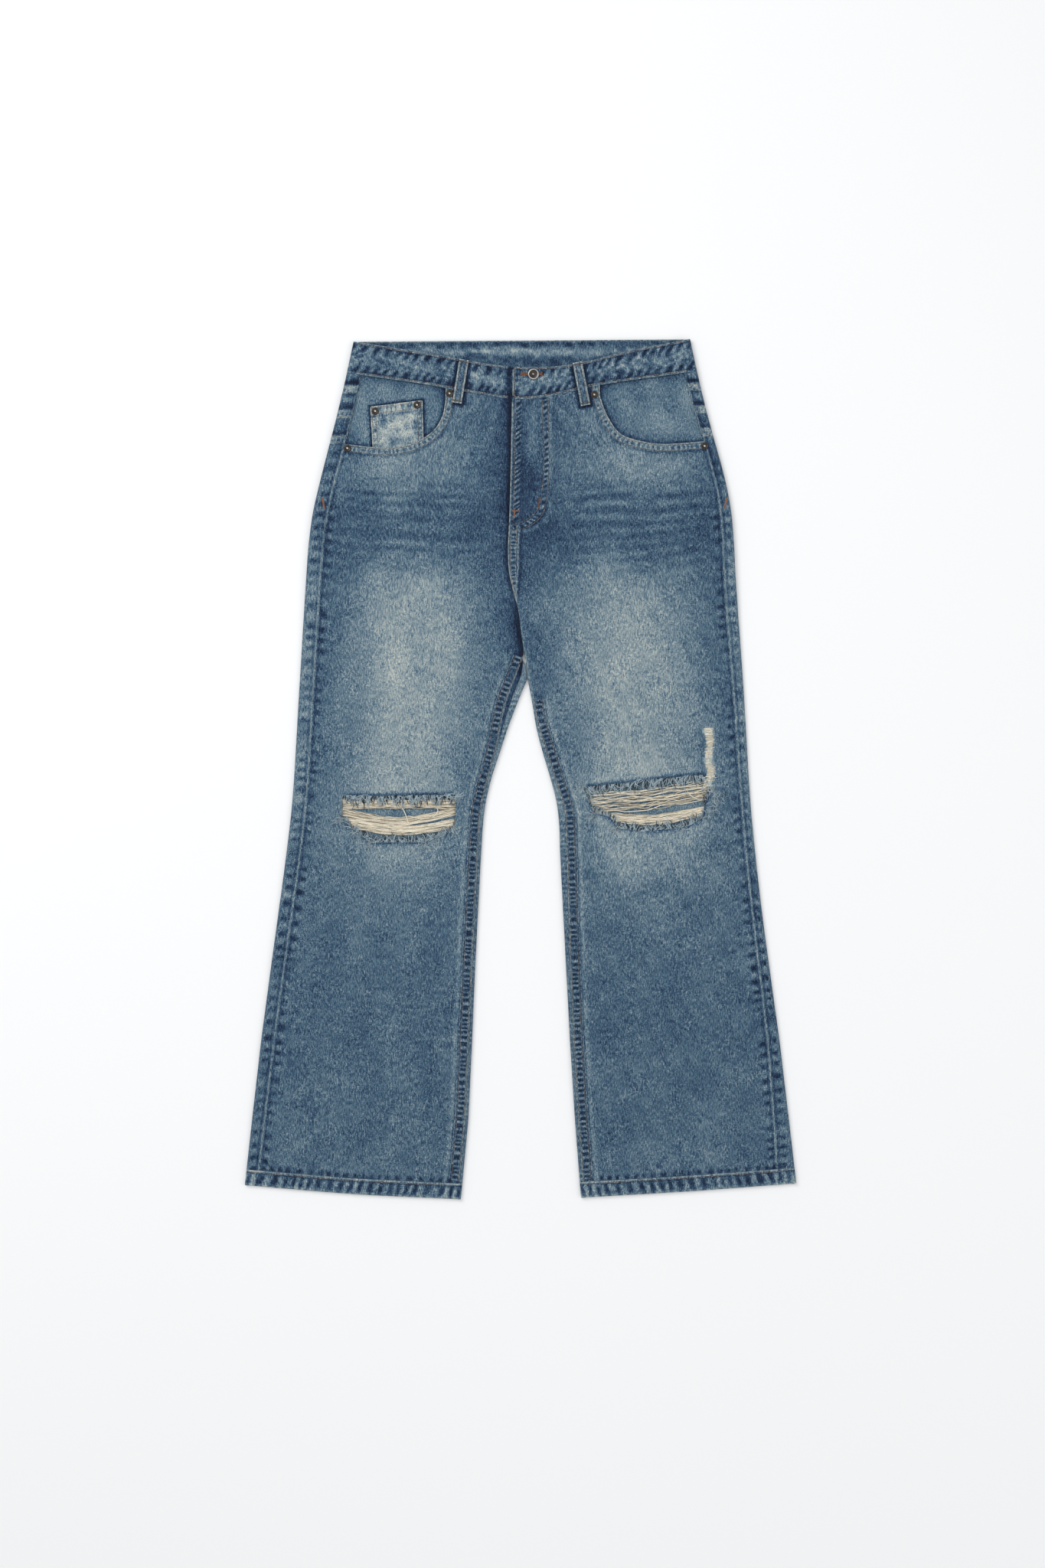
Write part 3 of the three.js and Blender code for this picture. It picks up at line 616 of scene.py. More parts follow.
def capsules(places, directions, normals, length, thickness, sides=6):
    """Stitches: short rounded bars lying on the cloth."""
    shape = np.array([(-0.5, 0.0), (-0.42, 0.7), (-0.15, 1.0), (0.15, 1.0), (0.42, 0.7),
                      (0.5, 0.0)])
    side = np.cross(normals, directions)
    side /= np.maximum(np.linalg.norm(side, axis=1, keepdims=True), 1e-9)
    paths = places[:, None] + shape[None, :, :1] * length * directions[:, None]
    angle = np.arange(sides) * 2 * math.pi / sides
    around = (np.cos(angle)[None, :, None] * side[:, None]
              + np.sin(angle)[None, :, None] * normals[:, None])
    reach = np.maximum(shape[:, 1], 0.08) * thickness / 2
    points = paths[:, :, None] + reach[None, :, None, None] * around[:, None]
    return points.reshape(-1, 3), *tube_faces(len(places), len(shape), sides, flip=True)


# ---- Shape of the cloth ------------------------------------------------------------------------
def leg_fold(side, y):
    """The inner fold of a leg, and above the place where the legs part, the centre line."""
    upper = CENTRE(np.maximum(y, CROTCH_Y)) + (side - 1) * SEAM_GAP
    start = INNER[side](APEX_Y)
    t = np.clip((y - APEX_Y) / (CROTCH_Y - APEX_Y), 0, 1)
    return np.where(y < APEX_Y, INNER[side](y), start + (upper - start) * t)


def front_inner(side, y):
    """The inner edge of a front panel: the inseam, and above it the centre seam."""
    seam = INSEAM_EDGE[side](np.minimum(y, 146))
    t = step(y, 138, 152)
    return seam + (leg_fold(side, y) - seam) * t


def front_side(side, y):
    return SIDE_SEAM[side](y) - side * 2 * SEAM_GAP


def fly_rise(side, x, y):
    """The left front lies over the fly's other layers beside the centre."""
    if side == RIGHT:
        return 0 * x
    return 1.6 * (1 - step(x, 33, 50)) * step(y, 265, 300)


def inseam_line(side, y):
    """The felled inseam's inner side: on the fold below, turning in from it near the crotch,
    where the right leg's seam runs on under the left leg."""
    fold = front_inner(side, np.minimum(y, 104))
    turn_in = (6.5 if side == RIGHT else -2.0) * step(y, 10, 104)
    return fold + side * turn_in - side * (0.40 if side == RIGHT else 0.0) * np.maximum(y - 104, 0)


def seam_shown(side, y):
    return 1 - (step(y, 136, 152) if side == RIGHT else step(y, 82, 98))


def felled_inseam(side, x, y):
    """How far a point lies from the inseam on the front, and how much of the felled seam's
    band it is on."""
    gap = side * (x - inseam_line(side, y))
    return gap, between(gap, 0.6, 11.5, 0.8) * seam_shown(side, y)


def whisker(side, x, y):
    """Faint level creases across the hip: light on their crests, dark in the hollows."""
    level = y - 0.07 * (np.abs(x) - 140) - 3 * ripple(x, y, 120, 31 + side)
    reach = between(y, 246, 348, 16) * between(np.abs(x), 62, 228, 22)
    return reach * rungs(level, 15.5, 33 + side) * (0.8 + 0.4 * ripple(x, y, 70, 35))


def front_height(side, x, y):
    """The top face of a front panel, in mm above the floor."""
    z = FRONT_Z(y) + fly_rise(side, x, y)
    edge = side * (front_side(side, y) - x)
    gap, felled = felled_inseam(side, x, y)
    z = z + 0.55 * ripple(x, y, 85, 3 + side, 1.8) + 0.25 * ripple(x, y, 30, 5 + side, 1.6)
    z += 0.35 * whisker(side, x, y)
    z += felled * (0.55 + 0.35 * rungs(y + 0.3 * gap, INSEAM_PUCKER, 11 + side))
    z -= 0.35 * bump((gap - 13.5) / 1.6) * seam_shown(side, y)
    pucker = rungs(y + 0.2 * edge, SIDE_PUCKER, 21 + side)
    z = z + 0.5 * bump((edge - 6) / 4.5) * pucker + 0.25 * bump(edge / 1.4)
    centre = side * (x - CENTRE(y))
    above = step(y, 150, 215)
    z -= 0.5 * bump(centre / 1.6) * above
    if side == RIGHT:
        z += above * 0.35 * bump((centre - 5) / 3.5) * (1 + 0.5 * rungs(y, 9, 51))
    return z


def strip_height(side, x, y):
    """The top face of the back panel's strip that shows beside the side seam."""
    gap = side * (x - SIDE_SEAM[side](y))
    z = FRONT_Z(y) + 0.25 * bump(gap / 1.5)
    z += 0.4 * bump((gap - 6) / 5) * rungs(y + 4, SIDE_PUCKER, 21 + side)
    return z + 0.2 * ripple(x, y, 30, 15 + side)


# ---- Fading ------------------------------------------------------------------------------------
# How pale each leg is down its middle and down its edges: [height, lightness].
FADE = {
    RIGHT: (Line(*zip((-520, .40), (-470, .38), (-400, .37), (-300, .365), (-200, .385),
                      (-150, .43), (-115, .49), (-92, .51), (-30, .55), (30, .575), (110, .59),
                      (185, .58), (228, .54), (256, .43), (298, .355), (335, .39), (362, .45),
                      (400, .47), (440, .44), (475, .39))),
            Line(*zip((-520, .38), (-300, .365), (-150, .37), (0, .34), (150, .325), (240, .315),
                      (300, .30), (370, .35), (420, .38), (470, .35)))),
    LEFT: (Line(*zip((-520, .40), (-470, .38), (-400, .37), (-300, .36), (-200, .385),
                     (-150, .43), (-115, .51), (-88, .535), (-30, .555), (30, .57), (110, .58),
                     (180, .57), (222, .52), (256, .41), (298, .335), (335, .38), (362, .435),
                     (400, .455), (440, .435), (475, .38))),
           Line(*zip((-520, .38), (-300, .365), (-150, .38), (0, .36), (150, .345), (240, .32),
                     (300, .30), (370, .345), (420, .38), (470, .36)))),
}
FADE_CENTRE = {RIGHT: -140, LEFT: 135}


def seam_shade(y):
    """How dark the puckers beside a side seam are: faint on the thigh, deeper on the shin."""
    return 0.22 + 0.12 * (1 - step(y, -190, -90))


def front_wear_and_shade(side, x, y):
    """How light the face of a front panel is, from 0, deep indigo, to 1, bare cotton: its
    fading, and the shade painted beside its seams and rips and under the layers over it.
    """
    middle, edges = FADE[side]
    seam, inner = front_side(side, y), front_inner(side, y)
    half = np.where(x * side > FADE_CENTRE[side] * side, np.abs(seam - FADE_CENTRE[side]),
                    np.abs(inner - FADE_CENTRE[side]))
    away = np.abs(x - FADE_CENTRE[side]) / half
    hump = np.exp(-(away / 0.68) ** 2.8)
    wear = edges(y) + (middle(y) - edges(y)) * hump
    wear = wear + 0.020 * ripple(x, y, 60, 61 + side, 1.4) + 0.015 * ripple(x, y, 22, 71 + side)
    wear += 0.072 * whisker(side, x, y)
    # A faint smudge beside the fly, under each pocket's inner end.
    wear -= 0.03 * blob(x, y, side * 70, 400, 30, 34)
    # The pale wedge below the pocket, running out to the side seam.
    wear += 0.06 * blob(x, y, side * 182, 372 - 0.1 * (np.abs(x) - 182), 60, 20)
    # The fly's fading and painted shade, less the painted shadow of the front belt loops.
    wear = wear + fly_wear_and_shade(side, x, y) - loop_shadow(x, y)
    # Side seam: a pale rubbed ridge, a dark line painted as its shade, and the dark puckers behind
    # it.
    edge = side * (seam - x)
    pucker = rungs(y + 0.2 * edge, SIDE_PUCKER, 21 + side)
    lower = 1 - step(y, 300, 340)
    wear = wear + 0.22 * bump(edge / 1.3) - 0.12 * bump((edge - 3.6) / 1.5)
    wear -= seam_shade(y) * lower * np.clip(-pucker - 0.05, 0, 1) \
        * bump((edge - 7.5) / 3.8)
    wear += 0.08 * lower * np.clip(pucker, 0, 1) * bump((edge - 8) / 5)
    # Felled inseam: pale rungs over dark hollows, a pale line down its inner side, and a dark line
    # painted as shade beside its other side.
    gap, felled = felled_inseam(side, x, y)
    low = rungs(y + 0.3 * gap, INSEAM_PUCKER, 11 + side)
    shown = seam_shown(side, y)
    wear = wear + felled * (0.15 * low - 0.08) + 0.22 * bump((gap - 0.8) / 1.1) * shown
    wear = wear - 0.14 * bump((gap - 13.0) / 1.2) * shown + 0.10 * bump((gap - 17) / 3) * shown
    wear -= 0.12 * shown * between(gap, -9, -0.5, 1.0)
    # The crotch: the left leg's edge lies over the right leg, whose cloth is painted darker as its
    # shade; the left leg's edge is paler.
    beside = side * (x - front_inner(side, y))
    crotch = between(y, 118, 204, 12)
    if side == RIGHT:
        wear = wear - 0.26 * crotch * bump(beside / 5) - 0.10 * crotch * bump(beside / 24)
        wear -= 0.16 * between(y, 158, 184, 8) * bump(beside / 7)
    else:
        wear += 0.10 * crotch * bump(beside / 1.6)
    wear += rip_shade_and_rub(side, x, y)
    # Puckers above the hem; along the pocket scoop, a pale rubbed line at its edge and a dark line
    # painted as shade past its stitching.
    hem = y - (HEM[side](x) + HEM_TALL)
    wear -= 0.30 * np.clip(rungs(x, 11.5, 81 + side) + 0.3, 0, 1) * bump((hem - 3) / 3)
    gap, _ = away_from(SCOOP[side], x, y, y > 370)
    return wear + (0.18 * bump(gap / 1.5) - 0.15 * bump((gap - 10.6) / 1.6))


def fly_wear_and_shade(side, x, y):
    """Light and dark beside the fly and down the centre seam, with shade painted in the fold by the
    fly's edge and beside the centre seam.
    """
    gap = side * (x - CENTRE(y))
    fly = step(y, 298, 312)
    wear = -0.08 * bump((x - 6) / 36) * step(y, 290, 350) - 0.04 * bump(x / 44) * step(y, 180, 260)
    # Creases fan out from the fly's top corners.
    corner = np.hypot(x - side * 20, y - 475)
    turn = np.arctan2(side * (x - side * 12), 492 - y)
    fan = puckers(turn * 26, 6.5, 311 + side) * bump((corner - 34) / 36) * step(np.abs(x), 16, 26)
    wear += 0.045 * fan * (1 - step(np.abs(x), 62, 84))
    if side == RIGHT:
        # Painted shadow in the crease where the left front's edge lies over this panel.
        crease_shadow = 0.20 * bump((gap - 0.8) / 3.2) + 0.08 * bump(gap / 13) * step(y, 290, 330)
        crease_shadow += 0.22 * bump(gap / 6.5) * step(y, 385, 430)
        return wear - crease_shadow * step(y, 203, 222)
    wear += 0.16 * bump((gap - 0.8) / 1.5) * step(y, 198, 215)
    chain = np.clip(rungs(y + 0.3 * x, 6.0, 171), -0.4, 1)
    wear -= fly * (0.05 + 0.15 * chain) * bump((gap - 9) / 4.2)
    outer = np.clip(rungs(y, 6.6, 173), -0.4, 1)
    wear -= fly * (0.04 + 0.10 * outer) * bump((x - 30) / 3.2) * step(y, 330, 345)
    wear += fly * 0.12 * bump((x - 36.5) / 2.0) * step(y, 335, 350)
    wear += fly * 0.12 * bump((x - 14) / 7) * between(y, 385, 445, 18)
    # Outside the curve of the fly's stitching the cloth is drawn up and rubbed.
    around = np.hypot(x - 2, (y - 326) * 1.05) - 34
    curve = (1 - step(y, 322, 340)) * step(x, -8, 0)
    wear += curve * (0.10 * bump(around / 2.6) - 0.10 * bump((around + 6) / 3.0))
    # Below the fly, the double-stitched centre seam narrows down to the crotch, with a dark line
    # painted as shade beside it.
    wide = 12.5 * step(y, *CENTRE_OPENS)
    below = 1 - fly
    wear += below * 0.18 * bump((gap - wide) / 1.4) * step(y, 203, 218)
    rung = rungs(y, 5.2, 175) * between(gap, 2, np.maximum(wide - 1, 2.5), 1.0)
    return wear + below * (0.08 * rung - 0.14 * bump((gap - wide - 3.0) / 1.8)) * step(y, 203, 225)


def rip_shade_and_rub(side, x, y):
    """Painted shade along the edges of each rip, fading out at its ends, a faint rubbed
    paleness round it, and the pale worn strip above the left one.
    """
    outline = RIP_EDGES[side]
    gap, _ = away_from(outline, x, y, np.abs(y - RIP_Y) < 120)
    half = np.ptp(outline[:, 0]) / 2
    within = 1 - step(np.abs(x - outline[:, 0].min() - half), half - 9, half - 2)
    # Painted shade along the rip's edges, darker along the upper one, and a faint paleness further
    # out.
    shade_and_rub = np.where(y > -45, -0.32, -0.24) * bump(gap / 3.2) * within + 0.03 * bump(gap / 26)
    if side == LEFT:
        middle = STRIP_X + 1.2 * ripple(x, y, 30, 5) - 0.02 * (y - 10)
        shade_and_rub += 0.36 * between(x - middle, -4.6, 4.6, 1.6) * between(y, *STRIP_ENDS, 3)
        shade_and_rub -= 0.10 * bump((x - middle + 8) / 3) * between(y, *STRIP_ENDS, 6)
    return shade_and_rub


# ---- Stitches ------------------------------------------------------------------------------
class Sewing:
    """Collects stitches and rubbed edges for one panel, then makes a piece of each thread."""

    EDGE_STEP, WELT_STEP = 1.8, 1.15      # mm between a rubbed edge's or a welt's sections

    def __init__(self, name):
        self.name = name
        self.parts = {}

    def row(self, line, height, thread="topstitch_thread", pitch=3.4, sunk=0.12, wear=0.4,
            length=None, thickness=None):
        """A run of stitches along [x, y] points, lying on the cloth at a height function."""
        s = bpy.context.scene.jeans_stitches
        points, along = resampled(line, pitch)
        if not len(points):
            return
        step_size = 0.6
        z = height(points[:, 0], points[:, 1])
        ahead = points + along * step_size
        slope = (height(ahead[:, 0], ahead[:, 1]) - z) / step_size
        direction = np.column_stack([along, np.clip(slope, -0.6, 0.6)])
        direction /= np.linalg.norm(direction, axis=1)[:, None]
        up = np.zeros_like(direction)
        up[:, 2] = 1
        side = np.cross(up, direction)
        up = np.cross(direction, side)
        up /= np.linalg.norm(up, axis=1)[:, None]
        wide = thickness or s.thickness / MM
        places = np.column_stack([points, z + (0.5 - sunk) * wide * 0.6])
        rng = np.random.default_rng(len(self.parts) * 7 + len(points))
        shade = wear + 0.18 * rng.standard_normal(len(points))
        made = capsules(places, direction, up, length or min(s.length / MM, pitch * 0.86), wide)
        self.parts.setdefault(thread, []).append((made, shade))

    def tack(self, at, direction, width, length, height, thread="orange_thread", wear=0.6):
        """A bartack: close satin stitches side by side across a short bar."""
        at, along = np.asarray(at, float), np.asarray(direction, float)
        along /= np.linalg.norm(along)
        across = np.array([-along[1], along[0]])
        count = max(int(length / 0.55), 3)
        for k in range(count):
            middle = at + along * (k / (count - 1) - 0.5) * length
            ends = np.array([middle - across * width / 2, middle + across * width / 2])
            self.row(ends, lambda x, y: height(x, y) + 0.2, thread, pitch=width + 0.2,
                     length=width, thickness=0.62, wear=wear)

    def edge(self, line, height, radius=0.75, wear=0.62, period=9, seed=1):
        """The rubbed crest of a folded edge, as a low pale ridge with an uneven shade."""
        line, _ = resampled(line, self.EDGE_STEP)
        path = np.column_stack([line, height(line[:, 0], line[:, 1]) - 0.25])
        along = np.arange(len(line)) * self.EDGE_STEP
        shade = wear + 0.09 * rungs(along, period, seed) + 0.05 * ripple(along, 0 * along, 5, 7)
        points, faces, _ = tubes(path[None], radius, 6)
        made = (points, faces, np.repeat(np.arange(len(line)), 6))
        self.parts.setdefault("washed_denim", []).append((made, shade))

    def welt(self, line, width, height, wear_at, rise=0.30):
        """A strip of drawn-up cloth along a seam, between its rows of stitches."""
        points, along = resampled(line, self.WELT_STEP)
        out = np.stack([-along[:, 1], along[:, 0]], 1)
        share = np.linspace(-0.5, 0.5, 8)
        flat = points[:, None] + out[:, None] * (share * width)[None, :, None]
        run, across = np.meshgrid(np.arange(len(points)) * self.WELT_STEP, share * width,
                                  indexing="ij")
        x, y = flat[..., 0], flat[..., 1]
        shade = wear_at(run, across)
        crown = 1 - (2 * np.abs(share)) ** 4
        z = height(x, y) - 0.12 + rise * crown[None] * (1 + 1.5 * (shade - 0.4))
        grid = np.stack([x, y, z], -1).reshape(-1, 3)
        faces = quads(*x.shape).reshape(-1, 4)
        made = (grid, facing_up(faces, grid, faces[0], 1).tolist(), np.arange(len(grid)))
        self.parts.setdefault("washed_denim", []).append((made, shade.ravel()))

    def make(self):
        for thread, runs in self.parts.items():
            points, faces, shade, start = [], [], [], 0
            for (run_points, run_faces, owner), run_shade in runs:
                points.append(run_points)
                faces += [[i + start for i in face] for face in run_faces]
                shade.append(run_shade[owner])
                start += len(run_points)
            piece = new_piece(f"{self.name}_{thread}", np.concatenate(points), faces,
                              np.clip(np.concatenate(shade), 0, 1), [thread], 80)
            belongs(piece)


# ---- Panels ------------------------------------------------------------------------------------
def spread(*parts):
    """Places across a panel from [from, to, how many] runs."""
    return np.concatenate([np.linspace(a, b, n, endpoint=False) for a, b, n in parts]
                          + [np.array([parts[-1][1]], float)])


def front_panel(side):
    """A front panel, cut away at its rip and pocket scoop."""
    word = WORD[side]
    across = spread((0, 0.10, 17), (0.10, 0.78, 50), (0.78, 1, 36))
    rows = np.linspace(470, -516, 600)
    v, t = np.meshgrid(rows, across, indexing="ij")
    y = v.copy()
    for _ in range(4):
        x = front_side(side, y) + (front_inner(side, y) - front_side(side, y)) * t
        top, bottom = FRONT_SEAM(x) - 2 * SEAM_GAP, HEM[side](x) + HEM_TALL + 2 * SEAM_GAP
        y = np.where(v > 380, 380 + (v - 380) / 90 * (top - 380),
                     np.where(v < -480, -480 - (v + 480) / 36 * (bottom + 480), v))
    z = front_height(side, x, y)
    # The cloth curls at the rips' raw edges.
    outline = RIP_EDGES[side]
    gap, along = away_from(outline, x, y, np.abs(y - RIP_Y) < 70)
    z += bump(gap / 4) * (0.35 + 0.35 * ripple(along, 0 * along, 24, 8))
    grid = np.stack([x, y, z], -1)
    centre = (grid[:-1, :-1] + grid[1:, 1:]) / 2
    flat = centre[..., :2].reshape(-1, 2)
    scoop = SCOOP[side]
    far = side * 300
    pocket = np.vstack([scoop, [[far, scoop[-1, 1]], [far, 560], [scoop[0, 0], 560]]])
    keep = ~(inside(flat, outline[:-1]) | inside(flat, pocket)).reshape(centre.shape[:2])
    cloth(f"front_{word}_cloth", grid, front_wear_and_shade(side, x, y), "washed_denim", [f"front_{word}"],
          keep=keep, snaps=[outline, scoop], hidden_inside=True)


def back_path(side, y, part, share):
    """Where a point of the back panel lies: on the strip, round the side fold, below, round
    the inner fold, or on the inner strip. `part` counts these from 0 and `share` runs 0..1."""
    low, high = BACK_Z(y) + SEAM_GAP, FRONT_Z(y)
    middle, rise = (low + high) / 2, (high - low) / 2
    outer = OUTER[side](y)
    strip = SIDE_SEAM[side](y) + (outer - side * FOLD_RADIUS - SIDE_SEAM[side](y)) * share
    turn = math.pi / 2 - math.pi * share
    edge = leg_fold(side, np.minimum(y, CROTCH_Y))
    reach = np.clip(side * (front_inner(side, y) - edge), 0.4, FOLD_RADIUS)
    centre_back = CENTRE_BACK(np.maximum(y, CROTCH_Y)) + (side - 1) * SEAM_GAP
    leg = 1 - step(y, 126, 150)
    inner_from = edge + side * reach
    flat_from = centre_back + side * 9
    below_end = flat_from + (inner_from - flat_from) * leg
    below = outer - side * FOLD_RADIUS + (below_end - outer + side * FOLD_RADIUS) * share
    inner_turn = -math.pi / 2 + math.pi * share
    inner_x = edge + side * reach * (1 - np.cos(inner_turn))
    flat_inner = flat_from + (centre_back - flat_from) * 0.7 * share
    over_x = inner_from + (front_inner(side, y) - side * 2 * SEAM_GAP - inner_from) * share
    flat_over = flat_from + (centre_back - flat_from) * (0.7 + 0.3 * share)
    xs = [strip, outer - side * FOLD_RADIUS * (1 - np.cos(turn)), below,
          flat_inner + (inner_x - flat_inner) * leg, flat_over + (over_x - flat_over) * leg]
    zs = [high + 0 * share, middle + rise * np.sin(turn), low + 0 * share,
          low + (middle + rise * np.sin(inner_turn) - low) * leg,
          low + (high - low) * leg + 0 * share]
    return np.choose(part, xs), np.choose(part, zs)


BACK_COLUMNS = [(0, 0, 1, 9), (1, 0, 1, 8), (2, 0, 1, 30), (3, 0, 1, 8), (4, 0, 1, 5)]


def back_grid(side, rows, top_at, bottom_at):
    """A grid over rows of nominal heights, whose ends follow the lines `top_at`, `bottom_at`."""
    part = np.concatenate([np.full(n, p) for p, _, _, n in BACK_COLUMNS])
    share = np.concatenate([np.linspace(a, b, n, endpoint=p == 4) for p, a, b, n in BACK_COLUMNS])
    v, p = np.meshgrid(rows, part, indexing="ij")
    _, s = np.meshgrid(rows, share, indexing="ij")
    top, bottom = rows[0], rows[-1]
    reach = min(60.0, (top - bottom) / 2)
    y = v.copy()
    for _ in range(4):
        x, z = back_path(side, y, p, s)
        near_top = np.clip(1 - (top - v) / reach, 0, 1)
        near_bottom = np.clip(1 - (v - bottom) / reach, 0, 1)
        y = v + near_top * (top_at(x, z) - top) + near_bottom * (bottom_at(x, z) - bottom)
    x, z = back_path(side, y, p, s)
    return x, y, z, p, s


def strip_wear_and_shade(side, x, y, part, share):
    wear = 0.355 + 0.03 * ripple(x, y, 40, 101 + side)
    wear = wear + 0.065 * step(y, -150, 0) * (1 - step(y, 230, 300)) - 0.05 * step(y, 300, 380)
    gap = side * (x - SIDE_SEAM[side](y))
    on_strip = part == 0
    pucker = rungs(y + 4, SIDE_PUCKER, 21 + side)
    # At the side seam a pale line and, just past it, a dark line painted as its shade.
    wear += on_strip * (0.04 * bump(gap / 1.3) - 0.16 * bump((gap - 2.2) / 1.5))
    fold = side * (OUTER[side](y) - x)
    wear += on_strip * step(y, 290, 330) * 0.14 * bump((fold - 2.5) / 2.2)
    wear += on_strip * (0.03 - seam_shade(y) * np.clip(pucker, 0, 1)
                        * bump((gap - 8) / 4.2))
    wear += on_strip * 0.09 * np.clip(-pucker, 0, 1)
    wear += np.where(part == 1, 0.03 - 0.04 * share, 0)
    inner = np.where(part == 4, 0.05, 0) + np.where(part == 3, 0.05 * share, 0)
    low = rungs(y, INSEAM_PUCKER, 11 + side)
    return wear + inner + np.where(part >= 3, 0.10 * low, 0)


def back_panel(side):
    word = WORD[side]
    rows = np.linspace(404, -500, 300)
    seam = YOKE_SEAMS[2]
    x, y, z, part, share = back_grid(
        side, rows, lambda x, z: seam(x) - SEAM_GAP,
        lambda x, z: HEM[side](x) + HEM_TALL + 2 * SEAM_GAP)
    z += (part == 0) * (strip_height(side, x, y) - FRONT_Z(y))
    grid = np.stack([x, y, z], -1)
    wear = strip_wear_and_shade(side, x, y, part, share)
    # Below, the cloth is paler over the seat, and painted darker as shade where it shows through
    # the rip.
    seat_and_shade = (part == 2) * 0.14 * blob(x, y, side * 110, 290, 80, 90)
    hollow = RIP_EDGES[side][:-1, 0].mean()
    seat_and_shade -= (part == 2) * 0.13 * blob(x, y, hollow, -48, 95, 40)
    cloth(f"back_{word}_cloth", grid, wear + seat_and_shade, "washed_denim", [f"back_{word}"], up=-1)


def yoke_bands(side):
    """The yoke's three bands, each with a double-stitched welt along its lower edge."""
    word = WORD[side]
    lines = [lambda x, z: np.where(z > FRONT_LAYERS_Z, FRONT_SEAM(x), BACK_SEAM(x)) - 2 * SEAM_GAP,
             *[lambda x, z, seam=seam: seam(x) for seam in YOKE_SEAMS]]
    for k, band in enumerate(("top", "mid", "low")):
        def top_at(x, z, above=lines[k], gap=SEAM_GAP if k else 0):
            return above(x, z) - gap

        def bottom_at(x, z, below=lines[k + 1]):
            return below(x, z) + SEAM_GAP

        middle, on_front = side * STRIP_MIDDLE, FRONT_LAYERS_Z + 2
        rows = np.linspace(float(top_at(middle, on_front)), float(bottom_at(middle, on_front)), 14)
        x, y, z, part, share = back_grid(side, rows, top_at, bottom_at)
        # The seam's turnings raise the band's lower edge.
        height = y - YOKE_SEAMS[k](x)
        welt = between(height, 0.5, 10, 0.8)
        z += (part == 0) * (0.45 * welt + 0.2 * welt * rungs(x, 6, 7 + k))
        wear = strip_wear_and_shade(side, x, y, part, share)
        # The welt is paler, with a pale line at its seam and a darker line along its middle; above
        # the welt a dark line is painted as its shade.
        wear = wear + welt * (0.20 + 0.10 * rungs(x + 2 * y, 6, 9 + k)) \
            - 0.26 * bump((height - 13) / 2.2) + 0.14 * bump((height - 0.6) / 1.0) \
            - 0.10 * bump((height - 5) / 1.6)
        cloth(f"yoke_{band}_{word}_cloth", np.stack([x, y, z], -1), wear, "washed_denim",
              [f"yoke_{band}_{word}"], up=-1)


def hem_height(side, x, y):
    """The top face of the hem's front, with its roping."""
    up = y - HEM[side](x)
    rope = rungs(x * side + 0.3 * up, HEM_ROPE, 121 + side)
    round_edge = -1.8 * np.square(np.clip(1 - up / 2.2, 0, 1))
    return LEG_TOP + 0.4 * rope * between(up, 1, 15, 2) + round_edge + 0.25 * bump((up - 18) / 2)


def hem_wear(side, x, y):
    up = y - HEM[side](x)
    rope = puckers(x * side + 0.3 * up, HEM_ROPE, 121 + side)
    wear = 0.36 + 0.02 * ripple(x, y, 50, 131) + 0.04 * ripple(x, y, 8, 133)
    wear += rope * np.where(rope < 0, 0.26, 0.15) * bump((up - 9) / 7)
    wear += 0.16 * bump(up / 2.6) * (1 + 0.8 * ripple(x, y, 7, 3))
    wear = wear + 0.22 * bump((up - 18.6) / 1.0) - 0.20 * bump((up - 16.2) / 0.9)
    joins = np.minimum(np.abs(x - SIDE_SEAM[side](-500) - side), np.abs(x - side * 86))
    return wear - 0.20 * bump(joins / 1.1) + 0.10 * bump(joins / 12)


def hem(side):
    """A roped hem: a tube round the leg's end, whose lower edge tucks in under itself."""
    word = WORD[side]
    turn = np.linspace(math.pi / 2, -math.pi / 2, 9)
    t_under, t_over = np.linspace(0, 1, 42)[1:-1], np.linspace(1, 0, 152)[1:-1]
    up = np.array([HEM_TALL, 18.6, 17.4, 16.2, 15, 13, 11, 9.3, 7.6, 6, 4.4, 3, 1.9, 1.0, 0.4,
                   0.0, 0.0])
    sink = np.array([0.0] * 15 + [0.3, 1.3])
    rows = []
    for rise, tuck in zip(up, sink):
        y = np.full(len(turn) * 2 + len(t_under) + len(t_over), -500.0)
        for _ in range(5):
            a, b = slice(0, 9), slice(9, 9 + len(t_under))
            c, d = slice(b.stop, b.stop + 9), slice(b.stop + 9, len(y))
            outer, inner = OUTER[side](y), INNER[side](y)
            x, z = np.empty_like(y), np.empty_like(y)
            r0, r = FOLD_RADIUS, FOLD_RADIUS - tuck * 0.5
            x[a] = outer[a] - side * (r * (1 - np.cos(turn)) + tuck * 0.5)
            z[a] = LEG_FOLD_Z + (LEG_FOLD_RISE - tuck) * np.sin(turn)
            x[b] = outer[b] - side * r0 + (inner[b] - outer[b] + side * 2 * r0) * t_under
            z[b] = 0.35 + tuck
            x[c] = inner[c] + side * (r * (1 - np.cos(turn[::-1])) + tuck * 0.5)
            z[c] = LEG_FOLD_Z + (LEG_FOLD_RISE - tuck) * np.sin(turn[::-1])
            x[d] = outer[d] - side * r0 + (inner[d] - outer[d] + side * 2 * r0) * t_over
            z[d] = LEG_TOP - tuck
            y = HEM[side](x) + rise
        z[d] = hem_height(side, x[d], y[d]) - tuck
        rows.append(np.stack([x, y, z], -1))
    grid = np.array(rows)
    wear = hem_wear(side, grid[..., 0], grid[..., 1])
    cloth(f"hem_{word}_cloth", grid, wear, "edge_denim", [f"hem_{word}"], thickness=1.9,
          up=-1, look=0.2, ring=True)


LOOPS_FRONT = {"loop_front_right": ((-74, 478), -9.5), "loop_front_left": ((75, 475), 11)}


